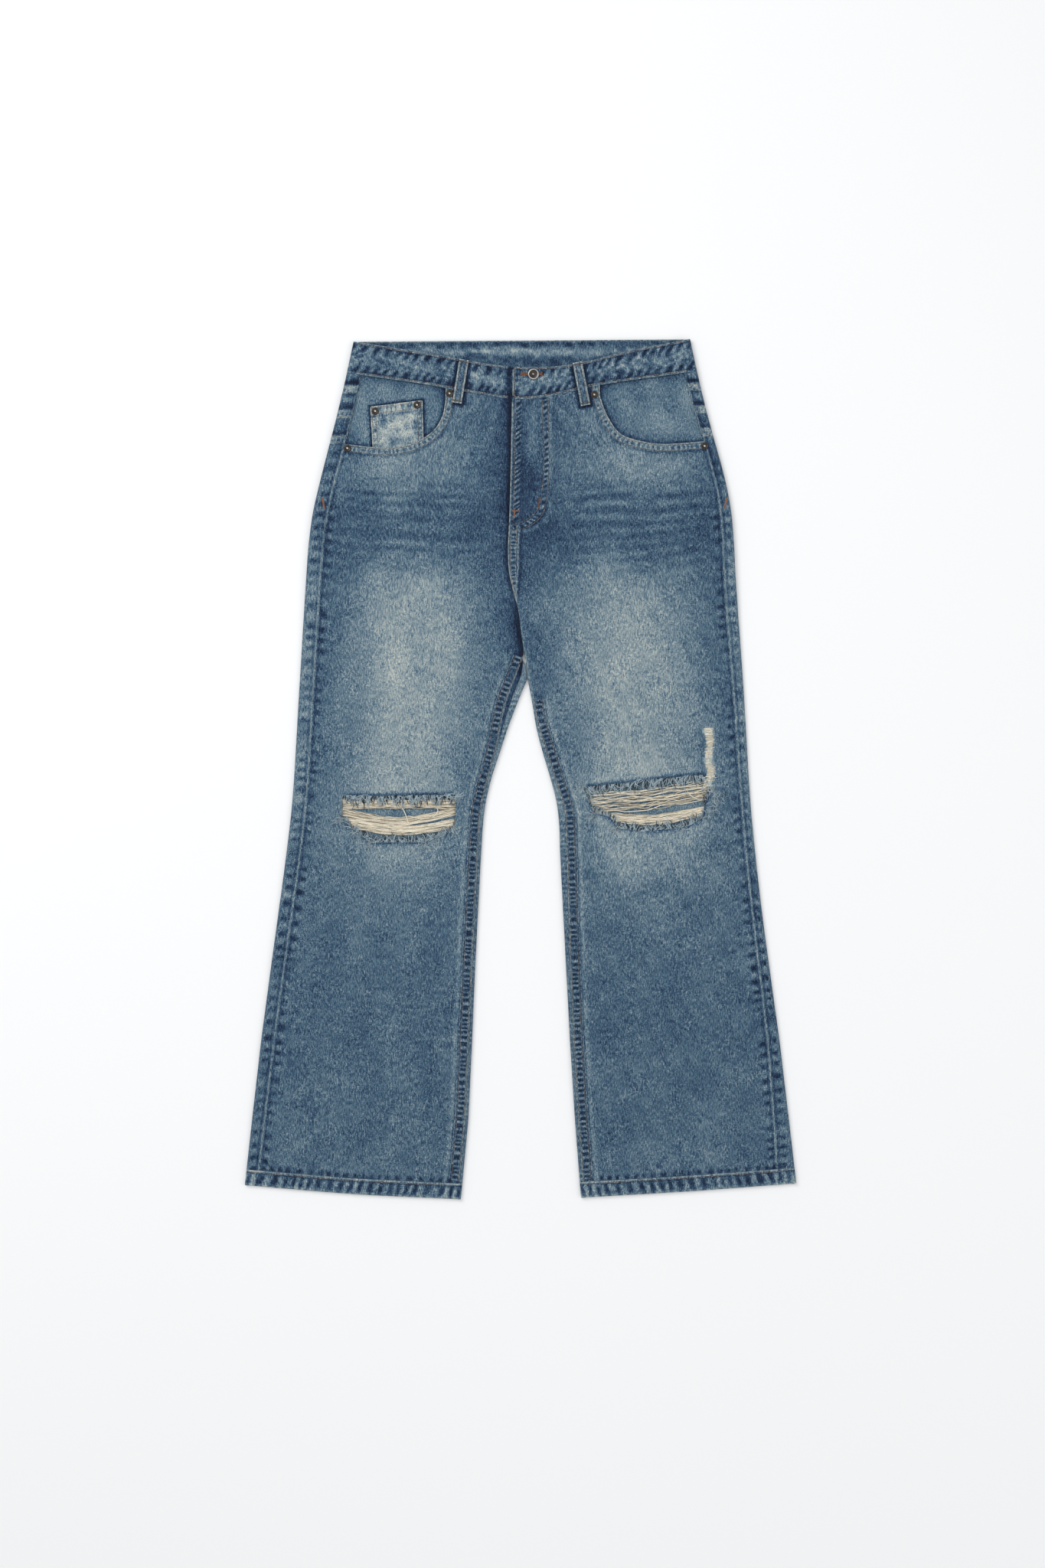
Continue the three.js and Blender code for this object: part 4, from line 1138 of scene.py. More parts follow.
def band_height(x, y):
    """The top face of the waistband's front."""
    base = np.where(x < FLAP_END_X, BAND_TOP, BAND_TOP + 1.3 * (1 - step(x, 34, 58)))
    low, high = FRONT_SEAM(x), FRONT_EDGE(x)
    share = (y - low) / (high - low)
    edge = bump(share / 0.12) + bump((1 - share) / 0.10)
    round_edge = -0.5 * (np.clip(1 - share / 0.03, 0, 1) + np.clip((share - 0.97) / 0.03, 0, 1))
    pucker = rungs(x + 4 * share, 12, 141)
    return base + 0.25 * edge * pucker + round_edge + 0.2 * ripple(x, y, 60, 17) - 0.15


def on_loop(at, turn, along, across=0.0):
    """Where a place on a belt loop lies in the jeans' own axes."""
    a = math.radians(turn)
    return (at[0] + across * math.cos(a) - along * math.sin(a),
            at[1] + across * math.sin(a) + along * math.cos(a))


def off_loop(at, turn, x, y):
    """How far along a belt loop and across it a place lies, from the loop's middle."""
    a = math.radians(turn)
    return ((y - at[1]) * math.cos(a) - (x - at[0]) * math.sin(a),
            (x - at[0]) * math.cos(a) + (y - at[1]) * math.sin(a))


def loop_shadow(x, y):
    """The dark outline that each front loop throws on the cloth under it."""
    shade = 0 * x
    for at, turn in LOOPS_FRONT.values():
        along, across = np.abs(off_loop(at, turn, x, y))
        beyond = np.hypot(np.clip(across - LOOP_WIDE / 2, 0, None),
                          np.clip(along - LOOP_LONG / 2, 0, None))
        shade += 0.52 * bump((beyond - 0.8) / 2.6)
    return shade


def band_wear_and_shade(x, y):
    low, high = FRONT_SEAM(x), FRONT_EDGE(x)
    up = y - low
    down = high - y
    wear = 0.39 + 0.035 * ripple(x, y, 22, 151) + 0.03 * ripple(x, y, 9, 152)
    upper = puckers(x + 0.6 * down, BAND_PUCKER, 141)
    lower = puckers(x - 0.6 * up, BAND_PUCKER, 143)
    wear = wear + 0.01 - 0.30 * np.clip(upper, 0, 1) * bump((down - 7.5) / 5.0)
    wear += 0.06 * ripple(x, y, 6, 155)
    wear -= 0.30 * np.clip(lower, 0, 1) * bump((up - 8.0) / 4.6)
    wear += 0.11 * np.clip(-upper, 0, 1) * bump((down - 7) / 7)
    wear += 0.11 * np.clip(-lower, 0, 1) * bump((up - 7) / 7)
    wear -= loop_shadow(x, y)
    # Painted shadow beside the flap's end.
    wear -= 0.34 * bump((x - FLAP_END_X + 4.2) / 3.6)
    vein = np.sin(x * 0.42 + y * 0.30 + 2.2 * ripple(x, y, 26, 153))
    wear = wear + 0.24 * np.clip(vein, 0.4, 1) * bump((up - 20) / 13) - 0.11
    # Pale folded edges, each with a dark line painted as shade just inside it.
    wear = wear + 0.16 * bump(down / 1.3) + 0.14 * bump((up - 1.0) / 1.3)
    return wear - 0.14 * bump((up - 3.6) / 1.2) - 0.10 * bump((down - 3.2) / 1.2)


def band_inside_wear(x, y):
    """The waistband's inner side where it shows behind the front: darker, and puckered."""
    down = BACK_EDGE(x) - y
    blobs = np.clip(rungs(x + 0.5 * down, BAND_PUCKER, 161), 0, 1)
    wear = 0.43 + 0.06 * ripple(x, y, 18, 162) + 0.04 * ripple(x, y, 8, 163)
    wear -= 0.20 * blobs * bump((down - 6) / 4)
    vein = np.sin(x * 0.30 + y * 0.35 + 2.0 * ripple(x, y, 30, 164))
    wear = wear + 0.34 * np.clip(vein, 0.5, 1) * bump((down - 13) / 7) - 0.15
    return wear + 0.26 * bump(down / 1.3) - 0.2 * bump((x + 66) / 1.2)


def hip(side, y):
    """Where the waistband's front turns into its fold at a hip."""
    return OUTER[side](y) - side * BAND_FOLD


def band_row(up, xs_at, z_at, front):
    """Points at the share `up` of the band's height, on its front or on its back."""
    y = np.full(1, 500.0)
    for _ in range(6):
        x = xs_at(y)
        low = np.where(front, FRONT_SEAM(x), BACK_SEAM(x))
        high = np.where(front, FRONT_EDGE(x), BACK_EDGE(x))
        y = low + (high - low) * up
    return np.stack([x + 0 * y, y, z_at(x, y) + 0 * y], -1)


def waistband():
    """The band, from the flap's end round both hips to the end that lies under the flap."""
    turn = np.linspace(math.pi / 2, -math.pi / 2, 10)
    share_left = np.linspace(0, 1, 86)[:-1]
    share_back = np.linspace(0, 1, 60)[1:-1]
    share_right = np.linspace(0, 1, 84)[1:]
    height = np.concatenate([[0, 0.015], np.linspace(0.04, 0.96, 21), [0.985, 1]])
    rows = []
    for up in height[::-1]:
        flap = band_row(up, lambda y: FLAP_END_X + (hip(LEFT, y) - FLAP_END_X) * share_left,
                        band_height, True)
        left = band_row(up, lambda y: hip(LEFT, y) + BAND_FOLD * np.cos(turn),
                        lambda x, y: BAND_FOLD_Z + BAND_FOLD_RISE * np.sin(turn), turn > 0)
        back = band_row(up, lambda y: hip(LEFT, y) + (hip(RIGHT, y) - hip(LEFT, y)) * share_back,
                        lambda x, y: BAND_BACK_Z + 0 * x, False)
        right = band_row(up, lambda y: hip(RIGHT, y) - BAND_FOLD * np.cos(turn[::-1]),
                         lambda x, y: BAND_FOLD_Z + BAND_FOLD_RISE * np.sin(turn[::-1]),
                         turn[::-1] > 0)
        over = band_row(up, lambda y: hip(RIGHT, y) + (-13 - hip(RIGHT, y)) * share_right,
                        lambda x, y: band_height(np.minimum(x, FLAP_END_X - 1), y)
                        - 1.25 * step(x, -26, -13), True)
        under = band_row(up, lambda y: np.array([-9.0, -3, 4, 11, 18, 24, 29]),
                         lambda x, y: UNDERLAP_Z - SEAM_GAP + 0 * x, True)
        rows.append(np.concatenate([flap, left, back, right, over, under]))
    grid = np.array(rows)
    x, y, z = grid[..., 0], grid[..., 1], grid[..., 2]
    wear = np.where(z > FRONT_LAYERS_Z, band_wear_and_shade(x, y), band_inside_wear(x, y))
    # The buttonhole's slit, pressed down into the flap and painted darker as shade.
    on_flap = (np.arange(x.shape[1]) < len(share_left)) & (z > FRONT_LAYERS_Z)
    slit = on_flap * between(x, 1, 27, 0.8) * bump((y - BUTTON[1]) / 1.5)
    grid[..., 2] -= 1.4 * slit
    cloth("waistband_cloth", grid, wear - 0.35 * slit, "edge_denim", ["waistband"],
          thickness=1.8, up=-1, look=0.42, inner="edge_denim")


def outline_of(name):
    """The outline of a flat solid, as [x, y] points in order round it."""
    mesh = NODES[name].data
    points = np.array([v.co for v in mesh.vertices]) / MM
    floor = points[:, 2].min()
    low = points[:, 2] < floor + 0.05
    edges = {}
    for polygon in mesh.polygons:
        corners = list(polygon.vertices)
        upright = abs(polygon.normal.z) < 0.5
        for a, b in zip(corners, corners[1:] + corners[:1]):
            if upright and low[a] and low[b] and np.linalg.norm(points[a] - points[b]) > 0.01:
                edges[tuple(np.round(points[a, :2], 2))] = tuple(np.round(points[b, :2], 2))
    start = next(iter(edges))
    loop = [start]
    while edges.get(loop[-1]) not in (None, start) and len(loop) <= len(edges):
        loop.append(edges[loop[-1]])
    return np.array(loop)


def flat_piece(node_name, slot, wear, height, up=1, spacing=2.4):
    """A patch of cloth with a flat solid's outline, and its own fading, painted shade and height.
    """
    name = f"{node_name}_cloth"
    outline = outline_of(node_name)
    closed = np.vstack([outline, outline[:1]])
    low, high = outline.min(0) - spacing / 2, outline.max(0) + spacing / 2
    xs = np.arange(low[0], high[0] + spacing, spacing)
    ys = np.arange(high[1], low[1] - spacing, -spacing)
    x, y = np.meshgrid(xs, ys)
    grid = np.stack([x, y, 0 * x], -1)
    centre = (grid[:-1, :-1, :2] + grid[1:, 1:, :2]) / 2
    keep = inside(centre.reshape(-1, 2), outline).reshape(centre.shape[:2])
    flat = grid[..., :2].reshape(-1, 2)
    distance, along, foot = nearest(flat, closed)
    snap = distance < spacing * 0.75
    flat = np.where(snap[:, None], foot, flat)
    grid[..., :2] = flat.reshape(x.shape + (2,))
    x, y = grid[..., 0], grid[..., 1]
    edge, along = distance.reshape(x.shape), along.reshape(x.shape)
    edge = np.where(snap.reshape(x.shape), 0, edge)
    grid[..., 2] = height(x, y, edge, along)
    faces, points = quads(*x.shape)[keep], grid.reshape(-1, 3)
    faces = facing_up(faces, points, faces[len(faces) // 2], up)
    laid(name, points, faces, wear(x, y, edge, along), slot, [node_name],
         1.0, "denim_wrong_side")


COIN = outline_of("coin_pocket")
COIN_TOP = COIN[np.argsort(-COIN[:, 1])[:2]]
ZIP_PITCH = 1.6               # mm between the zip's teeth


def facing_wear_and_shade(side, x, y):
    """Pale cloth behind the scoop, with shade painted under the edges that lie over it."""
    wear = 0.43 + 0.03 * ripple(x, y, 40, 201 + side) - 0.10 * bump((y - FRONT_SEAM(x)) / 7)
    wear += 0.05 * blob(x, y, side * 175, 420, 40, 22)
    under, _ = away_from(SCOOP[side], x, y)
    shade = 0.22 * bump(under / 3.2) + 0.05 * bump(under / 16)
    if side == RIGHT:
        beside, _ = away_from(np.vstack([COIN, COIN[:1]]), x, y)
        shade += 0.44 * bump(beside / 2.4)
    return wear - shade


def facing(side):
    flat_piece(f"pocket_facing_{WORD[side]}", "facing_denim",
               lambda x, y, edge, along: facing_wear_and_shade(side, x, y),
               lambda x, y, edge, along: 4.3 + 0.1 * ripple(x, y, 50, 211))


def below_coin_top(x, y):
    a, b = COIN_TOP[np.argsort(COIN_TOP[:, 0])]
    return a[1] + (b[1] - a[1]) * (x - a[0]) / (b[0] - a[0]) - y


def coin_pocket():
    def height(x, y, edge, along):
        hem_fold = between(below_coin_top(x, y), -1, 11, 0.7)
        return (5.75 + 0.35 * hem_fold + 0.15 * ripple(x, y, 25, 222)
                - 0.35 * np.square(np.clip(1 - edge / 1.8, 0, 1)))

    def wear(x, y, edge, along):
        down = below_coin_top(x, y)
        # A dark line painted as shade just below the folded top.
        shade = 0.61 + 0.08 * ripple(x, y, 16, 221) - 0.22 * bump((down - 12.6) / 1.3)
        shade -= 0.30 * bump((edge - 4) / 1.9) * np.clip(rungs(along, 6, 223) + 0.3, 0, 1)
        shade -= 0.20 * between(down, -1, 11, 1) * np.clip(rungs(x, 7, 225) - 0.1, 0, 1)
        shade = shade - 0.22 * blob(x, y, -170, 431, 7, 5) - 0.2 * blob(x, y, -130, 425, 4, 12)
        shade = shade - 0.18 * blob(x, y, -158, 404, 8, 7) - 0.12 * blob(x, y, -138, 402, 6, 5)
        return shade + 0.06 * bump(edge / 1.0) + 0.02 * between(down, -1, 11, 1)

    flat_piece("coin_pocket", "pale_denim", wear, height, spacing=1.8)


def back_pocket(side):
    flat_piece(f"back_pocket_{WORD[side]}", "washed_denim",
               lambda x, y, edge, along: 0.47 + 0.03 * ripple(x, y, 30, 231 + side)
               + 0.12 * bump(edge / 1.3) - 0.09 * bump((edge - 3.5) / 1.6)
               + 0.06 * rungs(along, 7, 233) * between(edge, 1, 9, 1),
               lambda x, y, edge, along: 0.2 + 0.12 * between(edge, -1, 9, 1), up=-1)


def fly_layer(node_name, z):
    """A plain layer behind the fly, at its height."""
    flat_piece(node_name, "facing_denim",
               lambda x, y, edge, along: 0.33 + 0.03 * ripple(x, y, 25, 251),
               lambda x, y, edge, along: z + 0 * x)


def zipper():
    """The closed zip hidden behind the fly: two woven tapes, a coil of teeth and the slider."""
    low, high = (np.array(corner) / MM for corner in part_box("zip_closed"))
    middle = (low[0] + high[0]) / 2
    rows = np.linspace(high[1], low[1], 60)
    across = np.array([low[0], low[0] + 1, middle - 4, middle - 2.4, middle - 1.2, middle,
                       middle + 1.2, middle + 2.4, middle + 4, high[0] - 1, high[0]])
    y, x = np.meshgrid(rows, across, indexing="ij")
    z = 5.25 - 0.15 * bump((x - middle) / 2)
    cloth("zip_tape_cloth", np.stack([x, y, z], -1), 0.45 + 0 * x, "zip_tape", ["zip_closed"],
          thickness=0.6, look=0.5, inner="zip_tape")
    teeth = []
    for k, at in enumerate(np.arange(low[1] + 4, high[1] - 3, ZIP_PITCH)):
        xs = middle + (1 if k % 2 else -1) * np.array([2.2, 1.2, 0.2, -0.9])
        teeth.append(np.stack([xs, at + 0 * xs, 5.4 + np.array([-0.1, 0.15, 0.2, 0.1])], 1))
    yarn_piece("zip_teeth_steel", teeth, 0.42, [0.6] * len(teeth), "steel", [])
    top = 438.0
    body = [np.array([(middle + way * 1.8, top + 10, 5.7), (middle + way * 1.5, top + 5, 5.8),
                      (middle + way * 0.9, top, 5.8)]) for way in (-1, 1)]
    yarn_piece("zip_slider_steel", body, 0.7, [0.7, 0.7], "steel", [], 8)


# ---- Belt loops --------------------------------------------------------------------------------
def loop_grid(length, height_at, rows=36):
    """A folded strip in its own frame: length along Y, and a section that rolls at its sides."""
    across = np.array([-6, -5.9, -5.4, -4.4, -3.2, -1.6, 0, 1.6, 3.2, 4.4, 5.4, 5.9, 6])
    round_side = np.array([-0.9, -0.45, -0.1, 0.05, 0, 0.02, 0.05, 0.02, 0, 0.05, -0.1,
                           -0.45, -0.9])
    ys = np.linspace(length / 2, -length / 2, rows)
    y, x = np.meshgrid(ys, across, indexing="ij")
    z = height_at(y) + round_side + 0.12 * ripple(x * 3, y, 14, 241)
    return x, y, z


def loop_wear(x, y, seed):
    middle = np.abs(x)
    wear = 0.44 + 0.03 * ripple(x, y, 12, seed) + 0.18 * between(middle, 3.9, 5.6, 0.5)
    wear = wear - 0.16 * bump((middle - 3.2) / 0.8) + 0.05 * rungs(y + x, 5, seed)
    wear -= 0.10 * bump((middle - 0.9) / 0.6)
    return wear + 0.22 * bump((np.abs(y) - 26.5) / 1.2)


def belt_loop(name, at, turn, length, height_at, up=1):
    x, y, z = loop_grid(length, height_at)
    if up < 0:
        z = 2 * height_at(y) - z
    cloth(f"{name}_cloth", np.stack([*on_loop(at, turn, y, x), z], -1),
          loop_wear(x, y, len(name)), "edge_denim", [name], up=up, look=0.5)


def over_band(y):
    """A front loop's top face: over the waistband, then down to the panel below it."""
    return 8.9 + 0.6 * step(y, -15, -7) + 0.35 * bump((y + 9) / 5)


# ---- Metal ---------------------------------------------------------------------------------------
def turned(node_name, profile, wear, segments):
    """A turned metal part from [radius, height] points, standing on its solid's axis."""
    name = f"{node_name}_steel"
    low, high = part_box(node_name)
    x, y = (low[0] + high[0]) / 2 / MM, (low[1] + high[1]) / 2 / MM
    base = low[2] / MM
    angle = np.arange(segments) * 2 * math.pi / segments
    profile = np.array(profile, float)
    rings = len(profile)
    points = np.stack([x + profile[:, :1] * np.cos(angle), y + profile[:, :1] * np.sin(angle),
                       base + profile[:, 1:] + 0 * angle], -1).reshape(-1, 3)
    faces = quads(rings, segments, ring=True).reshape(-1, 4).tolist()
    faces.append([segments - 1 - i for i in range(segments)])
    faces.append([(rings - 1) * segments + i for i in range(segments)])
    shade = np.repeat(wear, segments) + 0.08 * np.tile(np.sin(angle * 3 + 1), rings)
    piece = new_piece(name, points, faces, np.clip(shade, 0, 1), ["steel"], 40)
    belongs(piece, [node_name])


def waist_button():
    """A shank button: a domed ring round a sunk centre with a raised boss."""
    profile = [(1.9, 0.1), (1.9, 2.6), (6.3, 2.6), (6.85, 2.85), (7.0, 3.3), (6.95, 3.9),
               (6.6, 4.5), (6.1, 4.85), (5.5, 4.95), (5.0, 4.8), (4.7, 4.45), (4.5, 3.9),
               (4.3, 3.7), (3.2, 3.6), (2.3, 3.65), (2.0, 4.1), (1.7, 4.5), (1.1, 4.75),
               (0.4, 4.8)]
    wear = [0.1, 0.1, 0.2, 0.35, 0.5, 0.6, 0.7, 0.75, 0.65, 0.2, -0.1, -0.3, -0.3, -0.3,
            -0.3, -0.1, 0.1, 0.3, 0.3]
    turned("waist_button", profile, wear, 64)


def rivet(name):
    """A rivet's cap: a rolled rim, a sunk ring and a small domed middle."""
    profile = [(4.5, 0.05), (4.6, 0.3), (4.45, 0.62), (4.1, 0.85), (3.6, 0.95), (3.1, 0.85),
               (2.6, 0.6), (2.2, 0.55), (1.9, 0.7), (1.6, 1.05), (1.2, 1.3), (0.7, 1.42),
               (0.25, 1.45)]
    # Dark oxide over the rim and in the sunk ring; the bright top of the domed middle is a painted
    # highlight.
    wear = [-0.3, -0.2, -0.05, 0.0, -0.1, -0.2, -0.3, -0.3, -0.3, -0.1, 0.3, 0.8, 0.9]
    turned(name, profile, wear, 40)


# ---- Frayed yarns ------------------------------------------------------------------------------
def rip_edges(side):
    """The height of a rip's upper and lower edge at an x."""
    outline = RIP_EDGES[side]
    xs = np.linspace(outline[:, 0].min() + 1, outline[:, 0].max() - 1, 60)
    upper, lower = [], []
    a, b = outline[:-1], outline[1:]
    for at in xs:
        hit = (a[:, 0] <= at) != (b[:, 0] <= at)
        t = (at - a[hit, 0]) / (b[hit, 0] - a[hit, 0])
        y = a[hit, 1] + t * (b[hit, 1] - a[hit, 1])
        upper.append(y.max())
        lower.append(y.min())
    return xs, np.array(upper), np.array(lower)


def yarn_piece(name, paths, radius, shade, slot, nodes, sides=6):
    """Yarns, or wires, along paths as one piece. Each has its own radius and shade."""
    points, faces, owner = tubes(paths, radius, sides)
    piece = new_piece(name, points, faces, np.clip(np.asarray(shade)[owner], 0, 1), [slot], 80)
    belongs(piece, nodes)


# Each band of weft left across a rip: its two ends and its middle, [x, upper y, lower y].
WEFT_BANDS = {
    "rip_threads_right_upper": ([-223, -36, -49], [-150, -37.5, -48], [-77, -35.5, -49]),
    "rip_threads_right_middle": ([-223, -48, -61], [-150, -59, -69.5], [-78, -47, -56]),
    "rip_threads_right_lower": ([-213, -59, -72], [-150, -70.5, -81], [-79, -61.5, -72]),
    "rip_threads_left_upper": ([84, -29, -53], [158, -24, -49], [234, -13, -35]),
    "rip_threads_left_lower": ([90, -51.5, -58], [158, -56, -68.5], [230, -45, -56]),
}


def weft_band(name, start, middle, end, seed):
    """Weft yarns left across a rip: they keep their order but sag, bunch and cross a little."""
    rng = np.random.default_rng(seed)
    count = bpy.context.scene.jeans_rips.weft_yarns
    xs = np.linspace(start[0] + 1, end[0] - 1, 36)
    upper = Line([start[0], middle[0], end[0]], [start[1], middle[1], end[1]])(xs)
    lower = Line([start[0], middle[0], end[0]], [start[2], middle[2], end[2]])(xs)
    paths, shade = [], []
    for k in range(count):
        share = (k + rng.uniform(0.1, 0.9)) / count
        drift = share + 0.05 * ripple(xs, 0 * xs, 70, seed * 31 + k) \
            + 0.05 * ripple(xs, 0 * xs, 24, seed * 57 + k)
        y = upper + (lower - upper) * np.clip(drift, -0.04, 1.04)
        z = 3.6 + 0.5 * ripple(xs, 0 * xs, 40, seed * 77 + k) + rng.uniform(-0.5, 0.5)
        paths.append(np.stack([xs, y, z], 1))
        shade.append(rng.choice([0.3, 0.7, 0.9, 1.05]) + rng.normal(0, 0.06))
    radius = rng.uniform(0.30, 0.52, count)
    yarn_piece(f"{name}_yarns", paths, radius, shade, "weft_yarn", [name])


def curl(start, heading, length, bend, steps, rng, level=5.1, rise=0.5):
    """One frayed yarn end: it leaves its start along a heading and bends as it goes."""
    t = np.linspace(0, 1, steps)
    turn = heading + bend * t + 0.25 * rng.normal() * np.sin(t * 5)
    x = start[0] + np.concatenate([[0], np.cumsum(np.cos(turn[1:]))]) * length / (steps - 1)
    y = start[1] + np.concatenate([[0], np.cumsum(np.sin(turn[1:]))]) * length / (steps - 1)
    z = level + rise * np.sin(t * math.pi) * rng.uniform(-0.4, 1.0)
    return np.stack([x, y, z], 1)


def fringe(side, where):
    """Warp yarns frayed free along a rip's upper or lower edge, curling and clumping."""
    down = where == "upper"
    rng = np.random.default_rng(400 + side * 10 + down)
    xs, upper, lower = rip_edges(side)
    edge = upper if down else lower
    reach = bpy.context.scene.jeans_rips.fringe / MM * (1.0 if down else 0.68)
    span = (xs[0] + 1, xs[-1] - 1) if down else (
        (-219, -81) if side == RIGHT else (84, 234))
    paths, shade, radius = [], [], []
    # Dark blue yarns hang beneath, near black so that they also paint the shade in the gaps; paler,
    # whiter-worn ones curl and lean over them.
    for pitch, level, pale in ((0.95, 4.85, False), (1.15, 5.45, True)):
        count = int((span[1] - span[0]) / pitch)
        for k in range(count):
            x0 = span[0] + (span[1] - span[0]) * (k + rng.uniform(0, 1)) / count
            y0 = np.interp(x0, xs, edge)
            clump = 0.5 + 0.5 * float(ripple(np.array(x0), np.array(0.0), 8, 411 + side))
            length = reach * rng.uniform(0.5, 1.1) * (0.6 + 0.6 * clump) * (1.0 if pale else 0.8)
            lean = (0.8 if pale else 0.3) * float(
                ripple(np.array(x0), np.array(0.0), 9, 421 + side))
            heading = (-1.57 if down else 1.57) + lean + rng.normal(0, 0.3 if pale else 0.12)
            start = (x0, y0 + (1.4 if down else -1.4))
            paths.append(curl(start, heading, length + 1.4, rng.normal(0.2, 0.8 if pale else 0.3),
                              8, rng, level, 0.6 if pale else 0.2))
            shade.append(rng.uniform(0.75, 1.15) if pale else rng.uniform(-0.1, 0.3))
            radius.append(rng.uniform(0.28, 0.40) if pale else rng.uniform(0.42, 0.58))
    name = f"rip_fringe_{WORD[side]}_{where}"
    yarn_piece(f"{name}_yarns", paths, radius, shade, "warp_yarn", [name], 5)


# Frayed tufts that spill over the cloth beside the rips: [x, y], spread in mm, heading.
TUFTS = {
    RIGHT: [((-186, -88), 6, -1.5), ((-118, -90), 7, -1.3), ((-103, -82), 6, -1.2),
            ((-84, -72), 5, -1.5), ((-202, -76), 8, -2.2), ((-221, -62), 5, -2.4),
            ((-80, -34), 5, 0.2)],
    LEFT: [((76, -24), 6, 2.8), ((88, -54), 7, -2.4), ((96, -58), 6, -2.2),
           ((118, -70), 5, -2.0), ((196, -71), 7, -1.2), ((224, -60), 8, -0.7),
           ((236, -42), 8, -0.1), ((240, -33), 7, 0.3), ((231, -50), 8, -0.4)],
}


def tufts(side):
    """Loose curls of warp yarn at a rip's corners."""
    rng = np.random.default_rng(500 + side)
    paths, shade, radius = [], [], []
    for (x, y), size, heading in TUFTS[side]:
        for _ in range(20):
            at = (x + rng.normal(0, size * 0.45), y + rng.normal(0, size * 0.32))
            level = 5.9 + rng.uniform(0, 0.7)
            paths.append(curl(at, heading + rng.normal(0, 0.7), rng.uniform(5, 12),
                              rng.normal(0, 1.6), 10, rng, level, 0.5))
            shade.append(np.clip(rng.normal(0.75, 0.25), 0.1, 1.1))
            radius.append(rng.uniform(0.22, 0.36))
    yarn_piece(f"rip_tufts_{WORD[side]}_yarns", paths, radius, shade, "warp_yarn", [], 5)


# Long yarns that have snapped and fallen across each rip: start, middle and end as [x, y].
BROKEN = {
    RIGHT: [((-147, -46), (-140, -56), (-137, -72)), ((-139, -57), (-128, -61), (-116, -61)),
            ((-104, -47), (-98, -52), (-110, -60))],
    LEFT: [((120, -36), (140, -42), (160, -36)), ((150, -34), (178, -42), (206, -30)),
           ((205, -26), (214, -40), (226, -36))],
}


def broken_ends(side):
    """A few long pale yarns that have snapped and fallen across the rip."""
    rng = np.random.default_rng(520 + side)
    paths = []
    for ends in BROKEN[side]:
        t = np.linspace(0, 1, 10)[:, None]
        a, b, c = np.array(ends, float)
        flat = a * (1 - t) ** 2 + 2 * b * t * (1 - t) + c * t ** 2
        paths.append(np.column_stack([flat, 5.0 + 0.5 * np.sin(t[:, 0] * 9 + rng.uniform(0, 3))]))
    yarn_piece(f"rip_broken_{WORD[side]}_yarns", paths, 0.55, [0.9] * len(paths), "weft_yarn", [])


def worn_strip():
    """The narrow strip above the left rip's outer end where only the weft is left: short
    undyed yarns side by side, with fuzzy ends."""
    rng = np.random.default_rng(540)
    paths, shade, radius = [], [], []
    for y in np.arange(*STRIP_ENDS, 0.72):
        if abs(y - 12) < 4 and rng.random() < 0.75:
            continue
        sway = float(ripple(np.array(232.0), np.array(y), 30, 5))
        middle = STRIP_X - 0.02 * (y - 10) + 1.2 * sway
        half = 5.0 + rng.normal(0, 1.3) + (1.5 if y < -8 else 0)
        start = (middle - half, y + rng.normal(0, 0.4))
        level = float(front_height(LEFT, np.array(middle), np.array(y)))
        paths.append(curl(start, rng.normal(0, 0.10), 2 * half, rng.normal(0, 0.2), 8, rng,
                          level + 0.05, 0.3))
        shade.append(np.clip(rng.normal(0.6, 0.25), 0.1, 1.0))
        radius.append(rng.uniform(0.30, 0.46))
    yarn_piece("worn_strip_left_yarns", paths, radius, shade, "weft_yarn", [], 5)


# ---- Seams' stitching ----------------------------------------------------------------------------
def follow(xs_at, ys):
    """The [x, y] points of a line down the jeans, at the given heights."""
    return np.stack([xs_at(ys), ys], 1)


def level_line(y_at, shift, xs):
    """The [x, y] points of a line across the jeans, moved up by `shift`."""
    return np.stack([xs, y_at(xs) + shift], 1)


